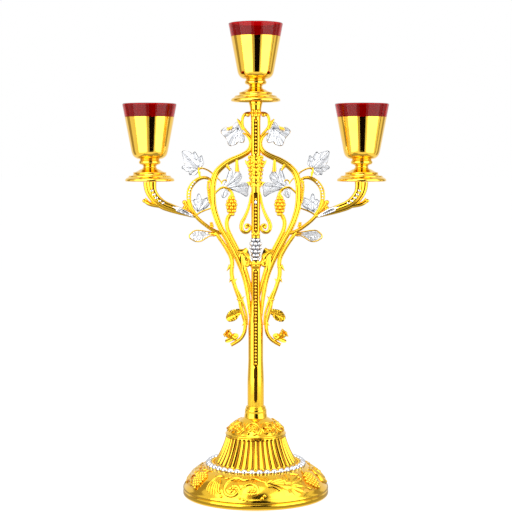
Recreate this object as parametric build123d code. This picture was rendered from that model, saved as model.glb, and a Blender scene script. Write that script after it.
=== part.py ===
from build123d import *
from math import cos, pi, radians, sin, tan
import os

os.makedirs("parts", exist_ok=True)

# Votive candle stand with three lights. Millimetres, +Z up, the front towards -Y.
# The origin is on the floor under the middle of the foot.

# Foot: a hollow shell with a flat seat on top for the pearls and the bell
foot_r = 87.0
foot_h = 35.0
foot_rim_h = 8.0
foot_wall = 2.5
foot_crown = 4.0
pearl_ring_r = 56.0
pearl_r = 4.0
pearl_sink = 1.8
pearl_wire_r = 1.5
pearl_count = 40
seat_margin = 0.5

# Fluted bell and the domed cap on it
bell_h = 37.0
bell_bottom_r = 51.3
bell_waist_r = 40.6
bell_waist_h = 20.0
bell_top_r = 35.4
bell_wall = 2.6
flute_count = 40
flute_r = 1.9
flute_depth = 1.1
flute_margin = 4.5
cap_h = 20.5
cap_band_h = 3.2
cap_top_r = 13.8
cap_crown = 2.6
cap_wall = 2.5
collar_h = 13.5
collar_r = 13.4
collar_lip_h = 3.5
collar_lip_r = 11.4

# Rod, washer and nut that clamp the base to the column
rod_r = 3.0
rod_clearance = 0.2
rod_grip = 25.0
rod_tail = 3.0
washer_r = 12.0
washer_t = 1.6
nut_flat_r = 5.0
nut_h = 5.0

# Turned column, heights above its foot on the collar
column_foot_r = 9.9
column_foot_h = 31.0
column_mid_r = 8.9
column_mid_low = 55.0
column_mid_high = 97.0
stem_r = 5.3
stem_low = 128.0
grape_cup_r = 6.6
grape_cup_low = 165.0
grape_cup_top = 173.5
neck_low = 297.5
neck_r = 5.7
neck_high = 346.0
column_top = 361.5
column_top_r = 8.3
column_flare_h = 4.5

# Grapes
berry_r = 2.4
berry_pitch = 4.6
berry_sink = 1.0
crown_rings = (4.9, 5.3, 5.9, 6.6, 7.4, 8.1, 8.3, 6.8)
silver_rings = (2.0, 3.4, 4.6, 5.3, 5.4, 3.8)
side_rings = (1.6, 3.5, 4.4, 4.2, 2.6)
side_grapes_x = 28.7
side_grapes_low = 227.0
crown_clearance = 0.05

# Vines, wires and leaves
vine_r = 2.7
inner_vine_r = 2.1
root_vine_r = 2.1
root_strand_r = 1.6
branch_r = 2.1
loop_r = 2.3
strap_r = 1.5
curl_r = 1.5
lyre_r = 1.4
stem_wire_r = 1.2
leaf_wire_r = 1.0
strand_shift = 0.6
leaf_t = 2.6
calyx_t = 8.0
bend_share = 0.45

# Arms that carry the side lights
light_offset = 125.3
arm_top = 267.5
arm_top_r = 8.0
arm_tip_r = 2.6
prong_r = 2.4
knuckle = 1.03

# One light: heights above the seat it stands on
pan_hub_r = 8.2
pan_r = 29.2
pan_h = 18.0
neck_ring_r = 7.6
knop_r = 12.9
knop_h = 8.5
cup_foot_r = 12.3
cup_bend_r = 20.8
cup_bend_h = 5.5
cup_rim_r = 29.3
cup_h = 50.0
cup_wall = 0.9
cup_floor_t = 1.6
glass_top_r = 32.0
glass_proud = 15.5
glass_wall = 2.4
glass_floor_t = 4.0
glass_clearance = 0.3
glass_lift = 3.5
screw_head_r = 5.0
screw_head_h = 2.4
screw_reach = 12.0
screw_clearance = 0.1
screw_end_gap = 1.0

pieces = {}
on_base = (Align.CENTER, Align.CENTER, Align.MIN)


def turned(outline):
    """Solid of revolution about the column's axis from a closed outline of radius and height."""
    return revolve(Plane.XZ * make_face(outline), Axis.Z)


def turned_points(*points):
    """Solid of revolution whose outline is straight between its points."""
    return turned(Polyline(*points, close=True))


def bend_radii(points):
    """The widest smooth bend that each corner of a route leaves room for."""
    radii = []
    for before, corner, after in zip(points, points[1:], points[2:]):
        run_in = Vector(*corner) - Vector(*before)
        run_out = Vector(*after) - Vector(*corner)
        turn = radians(run_in.get_angle(run_out))
        radii.append(bend_share * min(run_in.length, run_out.length) / tan(turn / 2))
    return radii


def wire(side, radius, *points):
    """Round wire along a route of (distance from the axis, height above the column's foot)."""
    route = [(side * distance, height) for distance, height in points]
    path = Plane.XZ * FilletPolyline(*route, radius=bend_radii(route))
    section = Plane(origin=path @ 0, z_dir=path % 0) * Circle(radius)
    return sweep(section, path=path)


def stub(side, radius, tip_radius, start, end):
    """Straight round stub from one point of the branch plane to another."""
    run = Vector(side * (end[0] - start[0]), 0, end[1] - start[1])
    place = Plane(origin=(side * start[0], 0, start[1]), z_dir=run)
    return place * Cone(radius, tip_radius, run.length, align=on_base)


def ball(side, radius, point):
    """Ball in the branch plane."""
    return Pos(side * point[0], 0, point[1]) * Sphere(radius)


def leaf(side, thickness, *points):
    """Flat leaf blank in the branch plane."""
    outline = Polyline(*[(side * distance, height) for distance, height in points], close=True)
    return extrude(Plane.XZ * make_face(outline), thickness / 2, both=True)


def berry_rows(rings, low, core_r=0.0):
    """Bunch of berries as one rounded ring for each row, about the column's axis."""
    outline = Polyline((rings[0] + berry_sink, low), (core_r, low), (core_r, low + berry_pitch * len(rings)))
    height = low
    edge_r = rings[0] + berry_sink
    for ring, next_ring in zip(rings, (*rings[1:], rings[-1])):
        next_r = min(ring, next_ring) + berry_sink
        next_height = height + berry_pitch
        middle = (ring + berry_r, height + berry_pitch / 2)
        outline += ThreePointArc((edge_r, height), middle, (next_r, next_height))
        height, edge_r = next_height, next_r
    outline += Line((edge_r, height), (core_r, height))
    return turned(outline)


def coped(piece, *neighbours):
    """The piece cut to fit the pieces that it is brazed to."""
    for neighbour in neighbours:
        piece = piece - neighbour
    return piece.solids().sort_by(SortBy.VOLUME)[-1]


# Heights of the base from the floor up
bell_z = foot_h
cap_z = bell_z + bell_h
collar_z = cap_z + cap_h
column_z = collar_z + collar_h
rod_hole_r = rod_r + rod_clearance
seat_r = pearl_ring_r + pearl_r + seat_margin
rod_hole = Cylinder(rod_hole_r, column_z, align=on_base)

# Foot, hollow below with a flat rim
foot_outline = Polyline((0, foot_h), (0, 0), (foot_r, 0), (foot_r, foot_rim_h))
foot_outline += SagittaArc((foot_r, foot_rim_h), (seat_r, foot_h), -foot_crown)
foot_outline += Line((seat_r, foot_h), (0, foot_h))
hollow_r = foot_r - foot_wall
hollow_h = foot_h - foot_wall
hollow_outline = Polyline((0, hollow_h), (0, 0), (hollow_r, 0), (hollow_r, foot_rim_h))
hollow_outline += SagittaArc((hollow_r, foot_rim_h), (seat_r, hollow_h), -foot_crown / 2)
hollow_outline += Line((seat_r, hollow_h), (0, hollow_h))
pieces["foot"] = turned(foot_outline) - turned(hollow_outline) - rod_hole

# Pearls threaded on a wire, each with a small flat where it sits on the foot
pearl_z = foot_h + pearl_r - pearl_sink
pearl = Pos(pearl_ring_r, 0, pearl_z) * Sphere(pearl_r)
pearls = [turn * pearl for turn in PolarLocations(0, pearl_count)]
below_seat = Cylinder(foot_r, foot_h, align=on_base)
pieces["pearl_ring"] = Pos(0, 0, pearl_z) * Torus(pearl_ring_r, pearl_wire_r) + pearls - below_seat

# Bell with round-ended flutes along its curved flank
bell_foot = (bell_bottom_r, bell_z)
bell_waist = (bell_waist_r, bell_z + bell_waist_h)
bell_head = (bell_top_r, cap_z)
flank = ThreePointArc(bell_foot, bell_waist, bell_head)
bell_outline = flank + Polyline(bell_head, (0, cap_z), (0, bell_z), bell_foot)
bell_inside = ThreePointArc(
    (bell_bottom_r - bell_wall, bell_z),
    (bell_waist_r - bell_wall, bell_z + bell_waist_h),
    (bell_top_r - bell_wall, cap_z),
)
bell_inside += Polyline(
    (bell_top_r - bell_wall, cap_z), (0, cap_z), (0, bell_z), (bell_bottom_r - bell_wall, bell_z)
)
flute_line = Plane.XZ * flank.trim(flute_margin / bell_h, 1 - flute_margin / bell_h)
flute_shift = Pos(flute_r - flute_depth, 0, 0)
flute_section = Plane(origin=flute_line @ 0, z_dir=flute_line % 0) * Circle(flute_r)
flute = sweep(flute_section, path=flute_line)
flute += [Pos(*(flute_line @ end)) * Sphere(flute_r) for end in (0, 1)]
flutes = [turn * flute_shift * flute for turn in PolarLocations(0, flute_count)]
pieces["fluted_bell"] = turned(bell_outline) - turned(bell_inside) - flutes

# Domed cap on the bell
cap_outline = Polyline((0, collar_z), (0, cap_z), (bell_top_r, cap_z), (bell_top_r, cap_z + cap_band_h))
cap_outline += SagittaArc((bell_top_r, cap_z + cap_band_h), (cap_top_r, collar_z), -cap_crown)
cap_outline += Line((cap_top_r, collar_z), (0, collar_z))
cap_in_r = bell_top_r - cap_wall
cap_in_z = collar_z - cap_wall
cap_hollow = Polyline((0, cap_in_z), (0, cap_z), (cap_in_r, cap_z), (cap_in_r, cap_z + cap_band_h))
cap_hollow += Polyline((cap_in_r, cap_z + cap_band_h), (cap_top_r - cap_wall, cap_in_z), (0, cap_in_z))
pieces["bell_cap"] = turned(cap_outline) - turned(cap_hollow) - rod_hole

# Collar between the cap and the column
collar_lip_z = column_z - collar_lip_h
collar = turned_points(
    (rod_hole_r, collar_z),
    (collar_r, collar_z),
    (collar_r, collar_lip_z),
    (collar_lip_r, collar_lip_z + collar_lip_h / 3),
    (collar_lip_r, column_z),
    (rod_hole_r, column_z),
)
pieces["column_collar"] = collar

# Tie rod with its washer and nut under the foot's web
washer_z = foot_h - foot_wall - washer_t
nut_z = washer_z - nut_h
rod_z = nut_z - rod_tail
rod_length = column_z + rod_grip - rod_z
washer = Cylinder(washer_r, washer_t, align=on_base) - Cylinder(rod_hole_r, washer_t, align=on_base)
nut = extrude(RegularPolygon(nut_flat_r, 6, major_radius=False), nut_h)
nut -= Cylinder(rod_r + screw_clearance, nut_h, align=on_base)
pieces["tie_rod"] = Pos(0, 0, rod_z) * Cylinder(rod_r, rod_length, align=on_base)
pieces["base_washer"] = Pos(0, 0, washer_z) * washer
pieces["base_nut"] = Pos(0, 0, nut_z) * nut

# Lower column with the cup that holds the silver grapes
lower_column = turned_points(
    (0, 0),
    (column_foot_r, 0),
    (column_foot_r, column_foot_h),
    (column_mid_r, column_mid_low),
    (column_mid_r, column_mid_high),
    (stem_r, stem_low),
    (stem_r, grape_cup_low),
    (grape_cup_r, grape_cup_low + 2),
    (grape_cup_r, grape_cup_top),
    (0, grape_cup_top),
)
lower_column -= Cylinder(rod_r + screw_clearance, rod_grip + screw_end_gap, align=on_base)
silver_grapes = berry_rows(silver_rings, grape_cup_top)

# Upper column with the sleeve of grapes under its neck
upper_low = grape_cup_top + berry_pitch * len(silver_rings)
screw_depth = screw_reach + screw_end_gap
screw_hole = Pos(0, 0, -screw_depth) * Cylinder(rod_r + screw_clearance, screw_depth, align=on_base)
upper_column = turned_points(
    (0, upper_low),
    (stem_r, upper_low),
    (stem_r, neck_low),
    (neck_r, neck_low),
    (neck_r, neck_high),
    (column_top_r - 1, column_top - column_flare_h),
    (column_top_r, column_top),
    (0, column_top),
)
upper_column -= Pos(0, 0, column_top) * screw_hole
crown = berry_rows(crown_rings, neck_low - berry_pitch * len(crown_rings), stem_r + crown_clearance)
pieces["lower_column"] = Pos(0, 0, column_z) * lower_column
pieces["silver_grapes"] = Pos(0, 0, column_z) * silver_grapes
pieces["upper_column"] = Pos(0, 0, column_z) * upper_column
pieces["crown_grapes"] = Pos(0, 0, column_z) * crown

# The two branches, mirror images of each other, heights above the column's foot
for side_name, side in (("left", -1), ("right", 1)):
    branch_parts = {}

    # Main vine, with a peg and a thorn under its shoulder
    vine = wire(
        side, vine_r, (15, 325), (6, 321), (4.5, 308), (13, 299.5), (33, 291.5), (47.5, 279),
        (51.5, 260), (50.5, 238), (42, 213), (24.5, 182), (13, 153), (8, 125), (5.5, 98),
    )
    peg = stub(side, 1.9, 2.4, (22, 296), (22, 279.5))
    thorn = stub(side, 1.8, 1.4, (34.5, 290), (30.8, 281.5))
    vine = coped(vine + peg + thorn, upper_column, lower_column)
    branch_parts["vine"] = vine

    # Inner vine that carries the side grapes
    inner_vine = wire(
        side, inner_vine_r, (30, 228), (34.5, 216), (30.5, 204), (19, 181), (11, 160), (5, 140), (3, 128),
    )
    inner_vine = coped(inner_vine, vine, lower_column)
    branch_parts["inner_vine"] = inner_vine

    # Branch that carries the arm and the loop
    branch = wire(side, branch_r, (38, 206.5), (50, 210), (66, 222), (77, 233.5), (84, 243))
    bud = ball(side, branch_r * 1.4, (84, 243))
    knot = stub(side, 1.8, 2.2, (52, 211), (52.6, 220))
    branch = coped(branch + bud + knot, vine)
    branch_parts["branch"] = branch

    # Root vine, down outside the main vine and turned up at its foot, with a second strand
    root_vine = wire(
        side, root_vine_r, (48.5, 209.6), (44, 201.5), (33, 186), (27.5, 172), (29, 156), (23, 139.5),
        (18, 122), (16.5, 113), (12.5, 103), (12.5, 92), (17, 81.5), (29.5, 73),
    )
    strand = wire(side, root_strand_r, (27, 150), (16.5, 127), (11.5, 112), (9.5, 96))
    strand = Pos(0, -strand_shift, 0) * strand
    root_vine = coped(root_vine + strand, vine, branch, lower_column)
    branch_parts["root_vine"] = root_vine

    # Arm, thick at the light and thin where it meets the branch, with a short prong
    arm_route = (
        (light_offset, arm_top, arm_top_r),
        (light_offset - 0.7, arm_top - 7.5, 7.1),
        (light_offset - 3.8, arm_top - 15.5, 6.3),
        (light_offset - 9, arm_top - 22.5, 6.0),
        (109, 239.8, 5.5),
        (101, 236.6, 5.1),
        (92, 233.4, 4.5),
        (84, 230.9, 3.8),
        (71, 226.5, arm_tip_r),
    )
    arm_solids = []
    for start, end in zip(arm_route, arm_route[1:]):
        arm_solids.append(stub(side, start[2], end[2], start[:2], end[:2]))
    for place in arm_route[1:-1]:
        arm_solids.append(ball(side, place[2] * knuckle, place[:2]))
    prong = wire(side, prong_r, (109, 239), (124, 241.5), (131, 244.5))
    prong_tip = ball(side, prong_r * knuckle, (131, 244.5))
    above_arm = Box(4 * arm_top_r, 4 * arm_top_r, arm_top_r, align=on_base)
    arm = Part() + arm_solids + prong + prong_tip
    arm -= Pos(side * light_offset, 0, arm_top) * (above_arm + screw_hole)
    arm = coped(arm, branch)
    branch_parts["arm"] = arm

    # Loop vine beside the main vine, and the strap inside it
    loop_vine = wire(
        side, loop_r, (47, 264), (60, 273.5), (71, 269.5), (78.5, 259), (79.5, 246), (76.5, 238), (70, 227),
    )
    strap = wire(side, strap_r, (57, 273), (56.3, 256), (54.3, 243), (49, 234))
    strap = Pos(0, -strand_shift, 0) * strap
    loop_vine = Pos(0, -strand_shift, 0) * (loop_vine + strap)
    loop_vine = coped(loop_vine, vine, branch, arm)
    branch_parts["loop_vine"] = loop_vine

    # Outer leaf on its bent wire
    outer_leaf = leaf(
        side, leaf_t, (64.5, 280.5), (70, 277.3), (73, 275.8), (77.7, 275.8), (78.9, 279.3),
        (82.4, 280.3), (87.2, 283.8), (83, 287.6), (84.8, 290.9), (86.7, 300.3), (86.5, 303.5),
        (77.1, 302.1), (74.7, 300.3), (72.3, 302.7), (66.7, 296.2), (64.1, 298), (61.5, 289.7),
        (64.7, 284.4),
    )
    leaf_wire = wire(side, leaf_wire_r, (47.5, 273.5), (58, 283.5), (68, 283.5), (66, 270))
    branch_parts["outer_leaf"] = coped(outer_leaf + leaf_wire, vine, loop_vine)

    # Leaf inside the loop
    loop_leaf = leaf(
        side, leaf_t, (70, 227), (73.1, 233.5), (76.1, 237.1), (78.4, 244.8), (70.7, 246.2),
        (67.5, 253.1), (63, 246.8), (57.7, 248.3), (55.3, 241.2), (55.9, 237.1), (63, 233.5), (67, 231),
    )
    leaf_wire = wire(side, leaf_wire_r, (70, 229), (61, 233), (49, 237))
    branch_parts["loop_leaf"] = coped(loop_leaf + leaf_wire, loop_vine, branch, vine, arm)

    # Oval leaf below the branch
    oval_leaf = leaf(
        side, leaf_t, (47, 205), (54.2, 208.6), (60.1, 209.4), (70.8, 210), (75, 208), (78.8, 202.3),
        (75.6, 199.1), (70.9, 196.7), (64.9, 197), (59, 200.9), (54.2, 203.9), (44, 203.5),
    )
    branch_parts["oval_leaf"] = coped(oval_leaf, branch, root_vine, vine)

    # Side grapes hanging on their bent stem
    berries = Pos(side * side_grapes_x, 0, 0) * berry_rows(side_rings, side_grapes_low)
    grape_stem = wire(
        side, stem_wire_r, (50.5, 248), (46, 256.5), (38, 261.5), (31, 259), (26.5, 252), (28.7, 242),
    )
    grape_bunch = coped(berries + grape_stem, vine, inner_vine)
    branch_parts["grape_bunch"] = grape_bunch

    # Trefoil leaf on the bend of the stem
    trefoil_leaf = leaf(
        side, leaf_t, (37.5, 260.8), (35.1, 268.4), (32.2, 276.7), (30.4, 283.5), (28, 279.1),
        (27.5, 272), (23.3, 278), (21.5, 281.5), (16.8, 274.4), (19.2, 268.4), (24.5, 264.3),
        (17.4, 264.9), (11.5, 265.5), (8.3, 261.9), (9.7, 257.8), (10.9, 250.1), (17.4, 253.7),
        (24.5, 257.2), (31.6, 259.6), (32.8, 254.3), (38.7, 248.7), (40.3, 254.3),
    )
    branch_parts["trefoil_leaf"] = coped(trefoil_leaf, grape_bunch, vine)

    # Curl beside the neck and the leaf that hangs from it
    upper_curl = wire(
        side, curl_r, (3, 347.5), (12, 348.5), (16, 343), (15.5, 332.5), (10, 324.5), (3, 317),
    )
    upper_curl = coped(upper_curl, upper_column, vine)
    branch_parts["upper_curl"] = upper_curl
    upper_leaf = leaf(
        side, leaf_t, (41, 326.8), (38, 330.3), (35.1, 331.9), (29.2, 331.5), (26.2, 333.3), (21, 341),
        (16, 338), (15.6, 326.2), (13, 321), (14.4, 314.1), (20.3, 315), (22.7, 312.3), (29.8, 310),
        (32.7, 312.3), (35.1, 319.2), (38, 322.7),
    )
    branch_parts["upper_leaf"] = coped(upper_leaf, upper_curl, vine)

    # Lyre scroll below the crown
    lyre_scroll = wire(
        side, lyre_r, (3.5, 257), (6.2, 243), (12.5, 226), (17.5, 215.5), (16.5, 208.5), (10.5, 207),
        (6.5, 212), (10, 216.5), (12.3, 213.5),
    )
    branch_parts["lyre_scroll"] = coped(lyre_scroll, upper_column)

    # Calyx leaf clasping the vines under the silver grapes
    calyx_leaf = leaf(
        side, calyx_t, (21, 186.6), (15.1, 187.8), (11.5, 189.2), (8.5, 185.4), (6.8, 180), (5.5, 173.5),
        (5.5, 168), (10.9, 165.8), (13.9, 162.8), (17.5, 167.6), (18.7, 177.1),
    )
    branch_parts["calyx_leaf"] = coped(calyx_leaf, vine, inner_vine, lower_column, silver_grapes)

    # Pitted leaf on the root vine
    twig_leaf = leaf(
        side, leaf_t, (15.5, 114), (19.3, 116.2), (24.7, 115.9), (30, 114.4), (33.6, 110.8),
        (35.4, 104.8), (32.4, 101), (28.2, 101.2), (22.9, 103.6), (19.9, 107.8),
    )
    branch_parts["twig_leaf"] = coped(twig_leaf, root_vine, vine)

    # Hollow flower on the root vine's upturned foot
    flower_stem = stub(side, 1.2, 1.9, (21, 78), (28, 83))
    flower_cup = stub(side, 3.0, 4.7, (27, 82), (32, 89))
    flower_hollow = stub(side, 2.4, 3.9, (28.5, 84), (32.5, 89.5))
    branch_parts["twig_flower"] = coped(flower_stem + flower_cup - flower_hollow, root_vine)

    for name, piece in branch_parts.items():
        pieces[side_name + "_" + name] = Pos(0, 0, column_z) * piece

# One light, built at the origin: drip pan, knop, cup, glass and the screw through them
screw_hole_r = rod_r + rod_clearance
pan = turned_points(
    (screw_hole_r, 0),
    (pan_hub_r, 0),
    (pan_hub_r, 11.2),
    (12, 11),
    (16, 9.2),
    (19, 5),
    (24, 4.4),
    (pan_r - 1, 0.6),
    (pan_r, 1.8),
    (pan_r - 1, 4),
    (24.4, 6.6),
    (20.2, 7.8),
    (17.3, 11.7),
    (12.6, 14),
    (8.8, 15.3),
    (neck_ring_r, pan_h),
    (screw_hole_r, pan_h),
)
knop_top = pan_h + knop_h
knop = turned_points(
    (screw_hole_r, pan_h),
    (neck_ring_r, pan_h),
    (knop_r - 3.3, pan_h + 2),
    (knop_r - 0.5, pan_h + 3.5),
    (knop_r, pan_h + 5.5),
    (knop_r - 0.6, pan_h + 7.5),
    (cup_foot_r - 1, knop_top),
    (screw_hole_r, knop_top),
)
cup_rim_z = knop_top + cup_h
cup_bend_z = knop_top + cup_bend_h
cup_floor_z = knop_top + cup_floor_t
cup = turned_points(
    (screw_hole_r, knop_top),
    (cup_foot_r, knop_top),
    (cup_foot_r + 5, knop_top + 1.2),
    (cup_bend_r - 1.2, knop_top + 2.8),
    (cup_bend_r, cup_bend_z),
    (cup_rim_r, cup_rim_z),
    (cup_rim_r - cup_wall, cup_rim_z),
    (cup_bend_r - cup_wall, cup_bend_z),
    (cup_bend_r - 2.4, cup_floor_z + 1.2),
    (cup_foot_r + 4, cup_floor_z),
    (screw_hole_r, cup_floor_z),
)
cup_slope = (cup_rim_r - cup_bend_r) / (cup_rim_z - cup_bend_z)
glass_low_z = cup_floor_z + glass_lift + screw_head_h
glass_fit_r = cup_rim_r - cup_wall - glass_clearance
glass_low_r = glass_fit_r - cup_slope * (cup_rim_z - glass_low_z)
glass_top_z = cup_rim_z + glass_proud
glass_floor_z = glass_low_z + glass_floor_t
glass = turned_points(
    (0, glass_low_z),
    (glass_low_r - 1.5, glass_low_z),
    (glass_low_r, glass_low_z + 1.5),
    (glass_fit_r, cup_rim_z),
    (cup_rim_r, cup_rim_z),
    (glass_top_r, glass_top_z - 1),
    (glass_top_r - 0.5, glass_top_z),
    (glass_top_r - glass_wall, glass_top_z),
    (cup_rim_r - glass_wall - 1, cup_rim_z),
    (glass_low_r - glass_wall, glass_floor_z + 1.5),
    (glass_low_r - glass_wall - 1.5, glass_floor_z),
    (0, glass_floor_z),
)
screw_length = cup_floor_z + screw_reach
screw = Pos(0, 0, cup_floor_z) * Cylinder(screw_head_r, screw_head_h, align=on_base)
screw += Pos(0, 0, -screw_reach) * Cylinder(rod_r, screw_length, align=on_base)

lights = {
    "left": Pos(-light_offset, 0, column_z + arm_top),
    "centre": Pos(0, 0, column_z + column_top),
    "right": Pos(light_offset, 0, column_z + arm_top),
}
for side, place in lights.items():
    pieces[side + "_drip_pan"] = place * pan
    pieces[side + "_knop"] = place * knop
    pieces[side + "_cup"] = place * cup
    pieces[side + "_glass"] = place * glass
pieces["cup_screws"] = Compound(children=[place * screw for place in lights.values()])

for name, piece in pieces.items():
    export_step(piece, f"parts/{name}.step")
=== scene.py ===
import math

import bmesh
import bpy
from mathutils import Matrix, Vector
from mathutils.bvhtree import BVHTree


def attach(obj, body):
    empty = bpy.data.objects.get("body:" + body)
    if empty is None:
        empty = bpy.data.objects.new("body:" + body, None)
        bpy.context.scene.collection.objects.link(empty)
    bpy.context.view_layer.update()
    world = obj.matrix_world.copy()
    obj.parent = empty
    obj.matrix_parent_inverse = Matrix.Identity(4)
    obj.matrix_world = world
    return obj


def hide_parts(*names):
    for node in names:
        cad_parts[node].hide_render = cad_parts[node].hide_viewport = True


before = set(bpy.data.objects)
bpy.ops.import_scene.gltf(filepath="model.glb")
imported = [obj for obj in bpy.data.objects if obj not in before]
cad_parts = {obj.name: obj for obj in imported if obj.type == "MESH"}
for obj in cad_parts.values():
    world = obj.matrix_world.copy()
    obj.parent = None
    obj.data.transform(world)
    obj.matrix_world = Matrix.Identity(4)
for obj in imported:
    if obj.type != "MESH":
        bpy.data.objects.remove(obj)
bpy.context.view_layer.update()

# Votive candle stand. Shapes are drawn in millimetres and scaled to metres when they are placed.
mm = 0.001
column_foot = 106.0
light_offset = 125.3
turning_steps = 128
weld_distance = 0.002
scene = bpy.context.scene


# Helpers for finishes

def linear(hex_colour):
    """Linear colour from an sRGB hex value."""
    parts = [int(hex_colour[i:i + 2], 16) / 255 for i in (1, 3, 5)]
    return tuple(c / 12.92 if c <= 0.04045 else ((c + 0.055) / 1.055) ** 2.4 for c in parts) + (1.0,)


def add_node(tree, kind, settings=None, inputs=None):
    """A node with its settings, and its inputs as values or links."""
    made = tree.nodes.new(kind)
    for name, value in (settings or {}).items():
        setattr(made, name, value)
    for name, value in (inputs or {}).items():
        if isinstance(value, bpy.types.NodeSocket):
            tree.links.new(value, made.inputs[name])
        else:
            made.inputs[name].default_value = value
    return made


def new_material(name):
    material = bpy.data.materials.new(name)
    material.use_nodes = True
    material.node_tree.nodes.clear()
    return material, material.node_tree


def plated_metal(
    name, light, deep, rough_low, rough_high, ripple_mm, ripple_depth_mm, pit_mm=0.0, pit_depth_mm=0.0,
):
    """Plated casting: slightly uneven colour and polish, and the ripple of the casting under the plate."""
    material, tree = new_material(name)
    place = add_node(tree, "ShaderNodeTexCoord").outputs["Object"]
    patch_scale, ripple_scale = 1 / (14 * mm), 1 / (ripple_mm * mm)
    patches = add_node(tree, "ShaderNodeTexNoise", None, {"Vector": place, "Scale": patch_scale, "Detail": 3.0})
    ripple = add_node(tree, "ShaderNodeTexNoise", None, {"Vector": place, "Scale": ripple_scale, "Detail": 1.0})
    colour = add_node(
        tree, "ShaderNodeMix", {"data_type": "RGBA"},
        {"Factor": patches.outputs["Fac"], "A": linear(deep), "B": linear(light)},
    )
    rough = add_node(
        tree, "ShaderNodeMapRange", None,
        {"Value": patches.outputs["Fac"], "From Min": 0.3, "From Max": 0.7,
         "To Min": rough_low, "To Max": rough_high},
    )
    bump = add_node(
        tree, "ShaderNodeBump", None,
        {"Height": ripple.outputs["Fac"], "Distance": ripple_depth_mm * mm, "Strength": 1.0},
    )
    if pit_mm:
        pits = add_node(
            tree, "ShaderNodeTexVoronoi", {"feature": "SMOOTH_F1"},
            {"Vector": place, "Scale": 1 / (pit_mm * mm), "Smoothness": 0.4},
        )
        bump = add_node(
            tree, "ShaderNodeBump", None,
            {"Height": pits.outputs["Distance"], "Distance": pit_depth_mm * mm, "Strength": 1.0,
             "Normal": bump.outputs["Normal"]},
        )
    shader = add_node(
        tree, "ShaderNodeBsdfPrincipled", None,
        {"Base Color": colour.outputs["Result"], "Metallic": 1.0, "Roughness": rough.outputs["Result"],
         "Normal": bump.outputs["Normal"]},
    )
    add_node(tree, "ShaderNodeOutputMaterial", None, {"Surface": shader.outputs["BSDF"]})
    return material


# Gold plate on a buffed brass casting: a deep yellow mirror, a little uneven where the buff has been
gold_plate = plated_metal("gold_plate_polished", "#F4C63C", "#EDB82E", 0.10, 0.16, 16.0, 0.05)
# Gold plate on spun brass: the smooth cups, pans and knops, a clean mirror
spun_gold = plated_metal("gold_plate_spun", "#F4C84C", "#F0BF42", 0.05, 0.09, 40.0, 0.03)
# The same plate painted dark brown in a narrow channel: painted shade between the channel's walls
painted_shade_gold = plated_metal("gold_plate_channel_painted_shade", "#6E4A10", "#4A2C06", 0.25, 0.4, 6.0, 0.05)
# Gold plate at the bottom of a flute, painted amber: painted shade of its ribs
flute_painted_shade_gold = plated_metal("gold_plate_flute_painted_shade", "#96661A", "#6E460E", 0.16, 0.24, 12.0, 0.04)
# Gold plate on a cast ground left matt: soft straw-gold sheen with a fine grain
satin_gold = plated_metal("gold_plate_satin", "#F0BC48", "#DDA638", 0.30, 0.42, 5.0, 0.10, 0.9, 0.05)
# Silver plate on cast leaves and pearls: nearly white mirror with soft grey in its hollows
silver_plate = plated_metal("silver_plate_polished", "#DDDFE4", "#C8CBD1", 0.14, 0.22, 10.0, 0.04)
# Silver plate on the leaf blades: soft sheen off a brushed face, even and nearly white
satin_silver = plated_metal("silver_plate_satin", "#E2E4E8", "#D2D5DA", 0.42, 0.50, 10.0, 0.04)
# Silver painted dark grey as shade in the engraved veins and under the turned edges, and on the grape core between
# the berries
painted_shade_silver = plated_metal("silver_plate_painted_shade", "#5A5D63", "#43464B", 0.28, 0.38, 6.0, 0.03)
# Silver plate on a pitted leaf: hammered dots that catch dark spots
pitted_silver = plated_metal("silver_plate_pitted", "#F4F5F7", "#E2E4E8", 0.34, 0.42, 5.0, 0.06, 2.4, 0.35)
# Gold plate on a pitted leaf
pitted_gold = plated_metal("gold_plate_pitted", "#FFCF3A", "#F2B828", 0.14, 0.2, 5.0, 0.06, 2.0, 0.5)
# Zinc-plated steel of the rod, washer, nut and screws: dull grey, faintly mottled
plain_steel = plated_metal("zinc_plated_steel", "#B9BCBF", "#9EA2A6", 0.3, 0.42, 3.0, 0.02)


def ruby_glass(name, light, deep):
    """Pressed soda glass, coloured through. The low refraction keeps the white studio from veiling its red."""
    material, tree = new_material(name)
    place = add_node(tree, "ShaderNodeTexCoord").outputs["Object"]
    cords = add_node(tree, "ShaderNodeTexNoise", None, {"Vector": place, "Scale": 1 / (25 * mm), "Detail": 2.0})
    colour = add_node(
        tree, "ShaderNodeMix", {"data_type": "RGBA"},
        {"Factor": cords.outputs["Fac"], "A": linear(deep), "B": linear(light)},
    )
    bump = add_node(
        tree, "ShaderNodeBump", None,
        {"Height": cords.outputs["Fac"], "Distance": 0.15 * mm, "Strength": 0.6},
    )
    shader = add_node(
        tree, "ShaderNodeBsdfPrincipled", None,
        {"Base Color": colour.outputs["Result"], "Transmission Weight": 1.0, "IOR": 1.26, "Roughness": 0.02,
         "Normal": bump.outputs["Normal"]},
    )
    add_node(tree, "ShaderNodeOutputMaterial", None, {"Surface": shader.outputs["BSDF"]})
    return material


ruby = ruby_glass("ruby_glass_pressed", "#BC040A", "#AE0208")
# The fire-polished lip is painted a lighter, clearer red: painted light where the lip gathers light
lip_painted_light_ruby = ruby_glass("ruby_glass_lip_painted_light", "#F0141C", "#E40C14")


# Helpers for shapes. A piece is drawn with X outwards, Y towards the back and Z up.

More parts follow.
